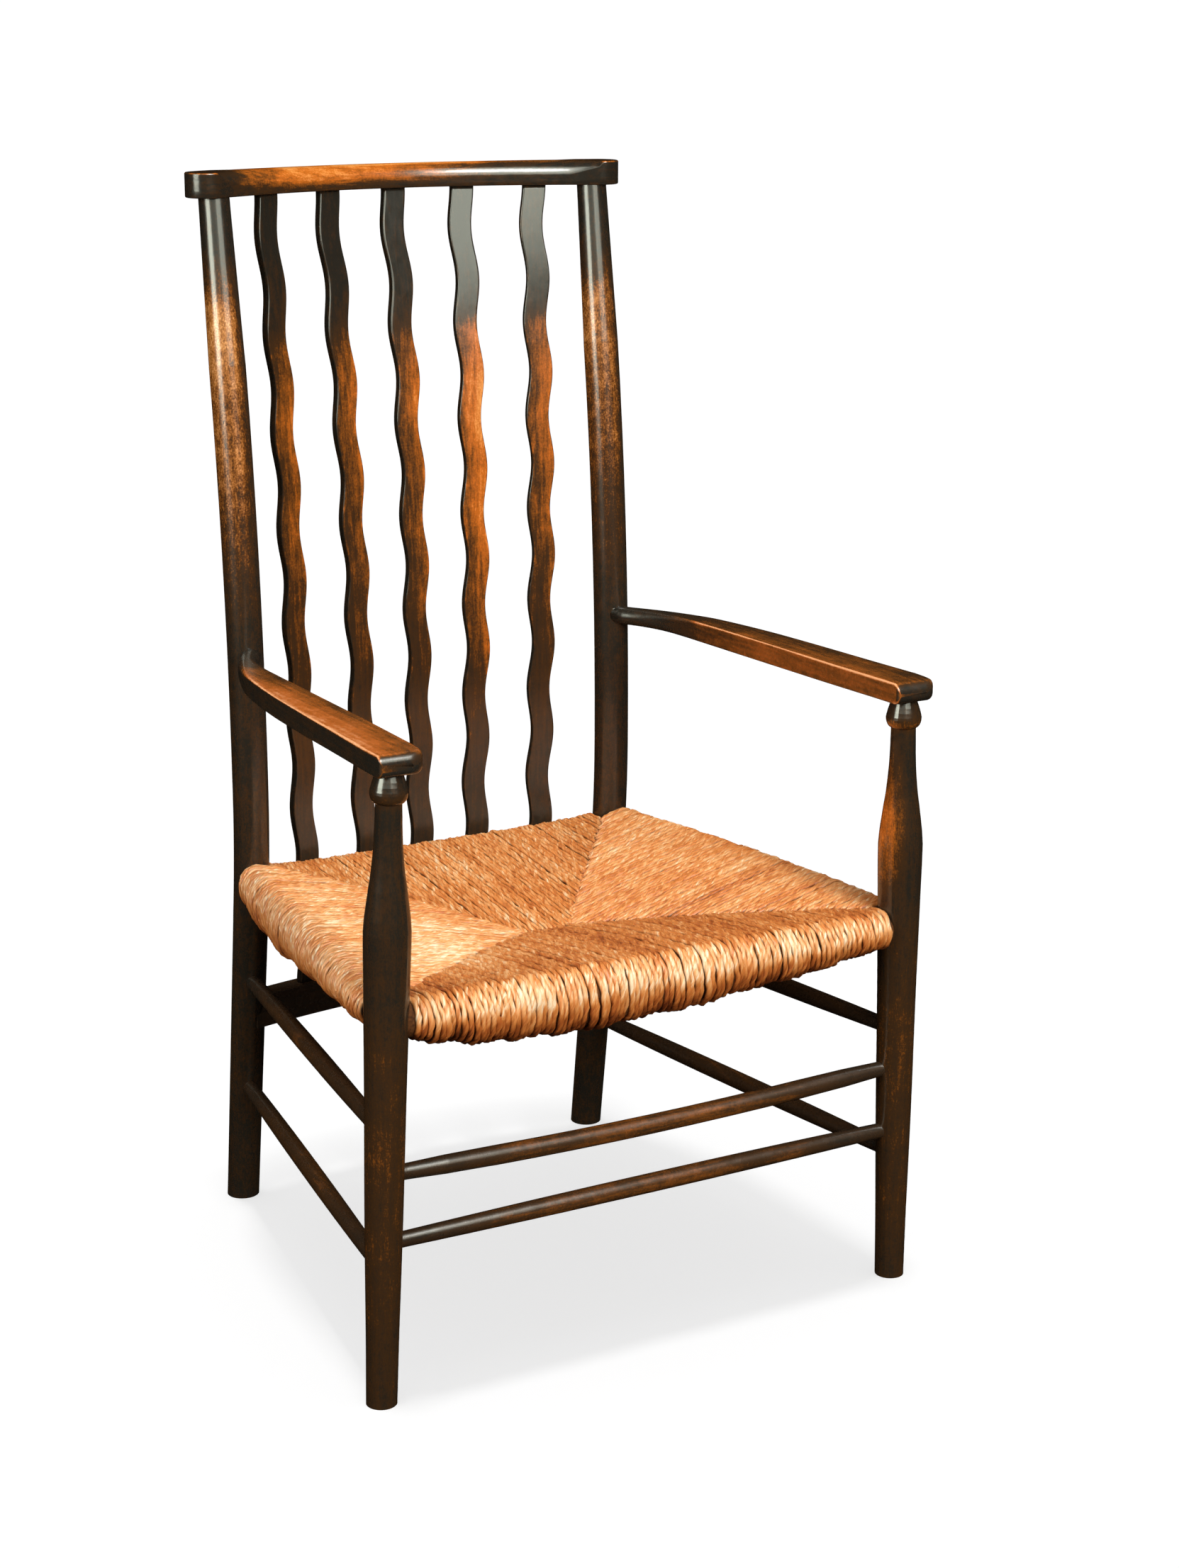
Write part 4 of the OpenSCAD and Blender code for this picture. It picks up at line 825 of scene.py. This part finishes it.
def strand_path(w, u, r, drift, end_in, lump, over):
    """Centre points of one strand from the seam over the top, round the roll and back below.
    Also says which part each is on."""
    pts, part = [], []
    reach, sunk = w.reach(u), r * SINK
    run = max(4.0, reach + over)
    n = max(3, int(run / TOP_STEP))
    for k in range(n):
        v = run * (1 - k / n)
        dip = max(0.0, 1 - (run - v) / DIP_RUN)
        pts.append(w.at(u, v, w.top(u, v) - sunk - end_in * dip * dip))
        part.append(1.0)
    top, low = w.top(u, 0), w.under(u, 0)
    middle, half = (top + low) / 2, (top - low) / 2
    out = max(2.0, BULGE[w.i] * w.swell(u) - sunk)
    for k in range(ROLL_STEPS + 1):
        phi = math.pi * k / ROLL_STEPS
        slide = drift * (0.5 - 0.5 * math.cos(phi))
        swell = 1 + lump / 30 * max(0.0, math.sin(phi - 0.9))
        x, y = w.a + w.d * (u + slide) + w.out * out * math.sin(phi) * swell
        z = middle + (half - sunk) * math.cos(phi) * (swell if phi > 1.6 else 1.0)
        pts.append(np.array([x, y, z]))
        part.append(1.0 - 2.0 * k / ROLL_STEPS)
    n = max(2, int(reach / UNDER_STEP))
    for k in range(1, n + 1):
        v = reach * k / n
        lift = RISE * max(0.0, 1 - (reach - v) / RISE_RUN)
        pts.append(w.at(u + drift, v, w.under(u, v) + sunk + lift))
        part.append(-1.0)
    return np.array(pts), np.array(part)


def strand_mesh(pts, part, lateral, half_wide, half_high, phase, pitch, wav_side, wav_up, lift, wav_size):
    """Vertices of one twisted strand, and what its colour goes by."""
    def unit(v):
        return v / np.linalg.norm(v, axis=1)[:, None]
    run = np.concatenate([[0], np.cumsum(np.linalg.norm(np.diff(pts, axis=0), axis=1))])
    tangent = unit(np.gradient(pts, axis=0))
    up = unit(np.cross(tangent, np.array([lateral[0], lateral[1], 0.0])))
    across = np.cross(up, tangent)
    centre = pts + across * wav_side(run)[:, None] + up * (wav_up(run) + lift)[:, None]
    theta = np.linspace(0, 2 * math.pi, AROUND, endpoint=False)
    twist = (2 * math.pi * run / pitch + phase)[:, None]
    grow = 1 + wav_size(run)
    grow *= np.minimum(1.0, 0.55 + run / 7.0) * np.minimum(1.0, 0.5 + (run[-1] - run) / 10.0)
    turned_by = theta[None, :] - twist
    r = (1 + 0.09 * np.cos(2 * turned_by) + 0.05 * np.cos(3 * (theta[None, :] + 1.7 * twist))) * grow[:, None]
    v = (centre[:, None, :] + across[:, None, :] * (half_wide * r * np.cos(theta))[:, :, None]
         + up[:, None, :] * (half_high * r * np.sin(theta))[:, :, None])
    values = {"groove": 0.5 - 0.5 * np.cos(2 * turned_by), "facing": np.sin(theta)[None, :],
              "along": run[:, None] / 1000, "around": turned_by / (2 * math.pi), "level": part[:, None]}
    return v.reshape(-1, 3), {key: np.broadcast_to(x, r.shape).ravel() for key, x in values.items()}


# per side, in mm: spacing of the strands, and how far from the corners the first and the last one lie
SPACING, EDGE_START, EDGE_END = [5.4, 5.0, 4.8, 5.0], [23.5, 23.0, 21.5, 21.5], [23.5, 21.5, 21.5, 23.0]
# how light the rush is from its underside (-1) round the roll (0) to the top (1), side by side: darker below
# and low on the roll, partly the rush's own deeper colour and partly painted shade; on the front the upper
# roll is lighter, painted light from the front
ROLL_TONE_AND_PAINTED_SHADE = [([-1, -0.5, -0.15, 0.2, 0.85, 1.0], [-0.34, -0.28, -0.10, 0.21, 0.07, -0.05]),
        ([-1, -0.4, 0.2, 1.0], [-0.30, -0.15, 0.02, 0.02]),
        ([-1, -0.4, 0.2, 1.0], [-0.30, -0.15, 0.02, 0.0]),
        ([-1, -0.5, -0.1, 0.25, 1.0], [-0.30, -0.20, -0.04, 0.05, 0.04])]
# broad patches in the seat, in mm from the middle: x, y, reach in x, reach in y, how much lighter
PATCHES = [(-200, 0, 90, 150, 0.09), (-150, -130, 90, 70, 0.17), (70, -115, 150, 42, -0.04),
           (-110, 90, 90, 60, 0.02), (30, 150, 150, 90, 0.07), (190, 40, 60, 120, 0.05),
           (0, -15, 60, 40, 0.05)]


def patch_lightening(v):
    x, y = v[:, 0], v[:, 1] + SHIFT_Y
    return sum(d * np.exp(-((x - px) / a) ** 2 - ((y - py) / b) ** 2) for px, py, a, b, d in PATCHES)


def wedge_strands(i, mat):
    w = Wedge(i)
    verts, faces, attrs, start = [], [], {}, 0
    span = w.length - EDGE_START[i] - EDGE_END[i]
    count = int(round(span / SPACING[i]))
    step = span / count
    slow, lumpy, drift_wave = Waver(1.0, [90, 47, 23]), Waver(2.2, [95, 41]), Waver(2.2, [160, 61])
    tone = 0.5
    for k in range(count + 1):
        u = EDGE_START[i] + step * k + rng.normal(0, 0.28)
        size = float(np.clip(1 + rng.normal(0, 0.10), 0.8, 1.25))
        wide, high = step * 0.535 * size, step * 0.56 * size
        tone = 0.55 * tone + 0.45 * rng.uniform(0, 1)
        tint = float(np.clip(0.35 * tone + 0.65 * rng.beta(2.2, 2.0), 0, 1))
        drift = 2.5 + float(drift_wave(u)) + rng.normal(0, 0.8)
        if min(k, count - k) < 3:
            drift *= 0.3
        if k > count - 4:
            drift = -abs(drift) * 0.3
        # at the right end of the back side the seam is toothed
        toothed = i == 2 and u > 0.62 * w.length
        end_in = rng.uniform(0.0, 2.0) * (4 if toothed else 1)
        lump = float(lumpy(u)) + rng.normal(0, 0.8)
        pts, part = strand_path(w, u, high, drift, end_in, lump, rng.uniform(-1.0, 3.0 if toothed else 6.0))
        lift = rng.normal(0, 0.45)
        side_w, up_w, size_w = Waver(0.75, [70, 31, 17]), Waver(0.45, [55, 24, 11]), Waver(0.13, [38, 17, 9])
        phase, pitch = rng.uniform(0, FULL_TURN), rng.uniform(26, 46) * (1 if i % 2 == 0 else -1)
        v, a = strand_mesh(pts, part, w.d, wide, high, phase, pitch, side_w, up_w, lift, size_w)
        verts.append(v)
        faces += ring_faces(len(pts), AROUND, start)
        start += len(v)
        a["tint"] = np.full(len(v), tint)
        a["strand"] = np.full(len(v), i * 100 + k + rng.uniform(0, 0.5))
        # tone round the roll with its painted shade and light, lighter patches, and a slow random change
        a["tone_and_painted_shade"] = np.interp(a["level"], *ROLL_TONE_AND_PAINTED_SHADE[i]) + patch_lightening(v) + 0.05 * float(slow(u))
        for key, values in a.items():
            attrs.setdefault(key, []).append(values)
    piece("rush_" + SIDE_NAMES[i], np.concatenate(verts), faces, mat, "rush_seat",
          {k: np.concatenate(v) for k, v in attrs.items()})


def rush_material():
    mat, t, shader = material("rush_strands")
    along, around = t.attribute("along"), t.attribute("around")
    tint, strand = t.attribute("tint"), t.attribute("strand")
    groove, facing, level = t.attribute("groove"), t.attribute("facing"), t.attribute("level")

    def leaf(per_metre, turns, seed, detail, rough):
        """Noise drawn out along the strands, another one in each strand."""
        spot = t.add("ShaderNodeCombineXYZ")
        for socket, source, size in zip(spot.inputs, (along, around, strand), (per_metre, turns, seed)):
            t.put(socket, t.times(source, size))
        return t.noise(spot.outputs[0], 1.0, detail, rough)
    broad, blade = leaf(34, 3.0, 3.7, 2, 0.5), leaf(62, 5.5, 5.3, 2, 0.5)
    glint_dashes, fibre = leaf(75, 7.0, 8.9, 1, 0.5), leaf(190, 30, 9.1, 2, 0.6)
    patch = t.noise(t.coordinate(), 14, 3, 0.55)
    # painted highlights: pale dashes along the strands, full on the upper roll and weaker over the top
    upper = t.times(t.scaled(level, -0.1, 0.25), t.scaled(level, 1.02, 0.7, 0.45, 1.0))
    tone = t.math("ADD", 0.395, t.times(tint, 0.22))
    tone = t.swing(tone, t.scaled(broad, 0.40, 0.60), 0.14)
    tone = t.swing(tone, t.scaled(blade, 0.42, 0.58), 0.11)
    tone = t.math("ADD", tone, t.times(t.times(t.scaled(glint_dashes, 0.58, 0.68), upper), 0.34))
    tone = t.swing(t.swing(tone, fibre, 0.30), patch, 0.30)
    # painted shade in the grooves of each strand's twist
    tone = t.math("SUBTRACT", tone, t.times(groove, 0.12))
    # per point: tone, painted shade below and painted light on the front's upper roll
    tone = t.math("ADD", tone, t.attribute("tone_and_painted_shade"))
    colour = t.ramp(tone, [
        (0.05, (0.15, 0.028, 0.004)), (0.25, (0.44, 0.105, 0.015)), (0.46, (0.67, 0.220, 0.044)),
        (0.64, (0.81, 0.385, 0.135)), (0.84, (0.91, 0.68, 0.42))])
    # painted shade: each strand darkened on its underside, down between the strands
    painted_gap_shade = t.ramp(t.scaled(facing, -0.30, 0.66, 0.10, 1.0), [(0.0, 0.0), (1.0, 1.0)])
    t.put(shader.inputs["Base Color"], t.darkened(colour, painted_gap_shade))
    t.put(shader.inputs["Roughness"], t.scaled(fibre, 0.2, 0.8, 0.30, 0.50))
    shader.inputs["Specular IOR Level"].default_value = 0.38
    t.bump(shader, t.math("ADD", t.times(fibre, 0.5), t.times(t.scaled(blade, 0.42, 0.58), 0.7)), 0.7, 0.0009)
    return mat


def bed_material():
    mat, t, shader = material("rush_shadow_bed")
    n = t.noise(t.coordinate(), 300, 3, 0.6)
    t.put(shader.inputs["Base Color"], t.ramp(n, [(0.3, (0.050, 0.016, 0.004)), (0.7, (0.17, 0.058, 0.014))]))
    shader.inputs["Roughness"].default_value = 0.9
    shader.inputs["Specular IOR Level"].default_value = 0.1
    return mat


BED_INSET, BED_COLUMNS = 3.4, 36
# rows of points from the middle of the top round the roll to the middle below, by share or by angle
BED_ROWS = ([("top", t) for t in (0.97, 0.8, 0.6, 0.4, 0.22, 0.09)] + [("roll", a) for a in range(0, 181, 15)]
            + [("under", t) for t in (0.15, 0.4, 0.7, 0.97)])


def rush_bed(mat):
    """The closed form under the strands, a little smaller than the seat."""
    wedges = [Wedge(i) for i in range(4)]

    def plan(i, s, t):
        return mix(mix(CORNERS[i], RIDGE[i], t), mix(CORNERS[(i + 1) % 4], RIDGE[(i + 1) % 4], t), s)
    verts = []
    for kind, val in BED_ROWS:
        for i, w in enumerate(wedges):
            for j in range(BED_COLUMNS):
                s = j / BED_COLUMNS
                top = SEAT_HEIGHT - smooth(TOP_DROP[i], s) - BED_INSET
                low = SEAT_HEIGHT - smooth(UNDER[i], s) + BED_INSET
                if kind == "roll":
                    a = math.radians(val)
                    out = max(0.0, BULGE[i] * w.swell(s * w.length) - BED_INSET) * math.sin(a)
                    q = plan(i, s, 0) + w.out * out
                    z = (top + low) / 2 + (top - low) / 2 * math.cos(a)
                elif kind == "top":
                    q = plan(i, s, val)
                    z = mix(top, SEAT_HEIGHT - DISH_DEPTH - BED_INSET,
                            val - DISH_ROUND * math.sin(math.pi * val))
                else:
                    q = plan(i, s, val)
                    z = mix(low, SEAT_HEIGHT - UNDER_DROP + BED_INSET, val)
                verts.append((q[0], q[1], z))
    piece("rush_bed", verts, ring_faces(len(BED_ROWS), 4 * BED_COLUMNS), mat, "rush_seat")


mat_rush = rush_material()
for i in range(4):
    wedge_strands(i, mat_rush)
rush_bed(bed_material())

# -------------------------------- floor, light
FLOOR_HALF, WALL_R, WALL_LOW, WALL_HIGH, WALL_SIDES = 30, 28, -1.0, 7.0, 96


def stage_piece(name, verts, faces, mat):
    """A piece of the studio, kept out of the gloss, which mirrors only the light panels."""
    mesh = bpy.data.meshes.new(name)
    mesh.from_pydata(verts, [], faces)
    obj = add_object(name, mesh)
    mesh.materials.append(mat)
    obj.visible_glossy = False
    obj.visible_diffuse = False
    return obj


mat_floor, floor_tree, floor_shader = material("pale_floor")
for field, value in (("Base Color", (0.50, 0.50, 0.50, 1)), ("Roughness", 0.9), ("Specular IOR Level", 0.0),
                     ("Emission Color", (1, 1, 1, 1)), ("Emission Strength", 0.685)):
    floor_tree.put(floor_shader.inputs[field], value)
floor_points = [(x * FLOOR_HALF, y * FLOOR_HALF, 0) for x, y in ((-1, -1), (1, -1), (1, 1), (-1, 1))]
floor = stage_piece("floor", floor_points, [(0, 1, 2, 3)], mat_floor)

world = bpy.data.worlds.new("studio")
bpy.context.scene.world = world
world.use_nodes = True
sky = Nodes(world.node_tree)
height = sky.parts(sky.coordinate("Generated"))[2]
sky.put(world.node_tree.nodes["Background"].inputs[0],
        sky.ramp(sky.scaled(height, -0.6, 0.6), [(0.0, 0.07), (0.45, 0.16), (0.6, 0.36), (1.0, 0.44)]))
world.node_tree.nodes["Background"].inputs[1].default_value = 1.0
world.cycles_visibility.glossy = False

# a far round wall that glows white, so that the floor runs out into a plain white background
mat_wall = bpy.data.materials.new("white_wall")
mat_wall.use_nodes = True
mat_wall.node_tree.nodes.clear()
glow = mat_wall.node_tree.nodes.new("ShaderNodeEmission")
wall_out = mat_wall.node_tree.nodes.new("ShaderNodeOutputMaterial")
mat_wall.node_tree.links.new(glow.outputs[0], wall_out.inputs[0])
glow.inputs[1].default_value = 1.02
wall_points = [(WALL_R * math.cos(a), WALL_R * math.sin(a), z) for z in (WALL_LOW, WALL_HIGH)
               for a in np.linspace(0, 2 * math.pi, WALL_SIDES, endpoint=False)]
stage_piece("backdrop", wall_points, ring_faces(2, WALL_SIDES, caps=False), mat_wall)


def add_light(name, kind, direction, power):
    light = bpy.data.lights.new(name, kind)
    light.energy = power
    obj = add_object(name, light)
    obj.rotation_mode = "QUATERNION"
    obj.rotation_quaternion = direction.to_track_quat("-Z", "Y")
    return obj


def for_gloss(obj, gloss):
    """A light for the gloss alone, or for all but the gloss."""
    obj.visible_diffuse, obj.visible_glossy = not gloss, gloss


def area(name, where, aim_z, width, height, power, tint, gloss):
    """A rectangle of light in metres and watts, aimed at a height on the chair's axis."""
    obj = add_light(name, "AREA", Vector((0, 0, aim_z)) - Vector(where), power)
    obj.location = where
    obj.data.color = tint
    obj.data.shape = "RECTANGLE"
    obj.data.size, obj.data.size_y = width, height
    for_gloss(obj, gloss)
    return obj


WHITE, PALE_GREEN = (1.0, 1.0, 1.0), (0.95, 1.0, 0.84)
# the soft light: from overhead, from the front at the camera's right, and weaker all round
overhead = add_light("overhead", "SUN", Vector((0.02, 0.03, -1.0)), 1.0)
overhead.data.angle = math.radians(5)
for_gloss(overhead, False)
not_the_floor = bpy.data.collections.new("floor_lit_by_the_sun_alone")
not_the_floor.objects.link(floor)
not_the_floor.collection_objects[0].light_linking.link_state = "EXCLUDE"
for name, where, aim_z, width, height, power in (
        ("fill_front", (0.35, -3.0, 1.9), 0.6, 1.6, 1.2, 84),
        ("fill_left", (-2.4, -0.6, 1.4), 0.7, 1.2, 1.2, 26),
        ("fill_top", (0.1, 0.0, 2.6), 0.4, 0.8, 0.8, 4),
        ("fill_back", (-0.4, 3.0, 1.3), 0.6, 1.6, 1.2, 26),
        ("fill_right", (2.7, 0.3, 1.1), 0.6, 1.2, 1.2, 12)):
    fill = area(name, where, aim_z, width, height, power, WHITE, False)
    fill.light_linking.receiver_collection = not_the_floor
# what the varnish mirrors: panels in front, high up, at the left and wide at the front left
area("panel_front", (0.10, -1.95, 2.5), 0.95, 1.8, 2.8, 112, PALE_GREEN, True)
area("panel_high", (0.15, -2.2, 2.9), 0.95, 1.2, 0.9, 175, WHITE, True)
area("panel_left", (-2.5, -0.45, 1.5), 0.75, 1.3, 1.3, 84, PALE_GREEN, True)
area("panel_wide", (-1.93, -2.3, 2.4), 1.0, 4.0, 2.0, 44, PALE_GREEN, True)
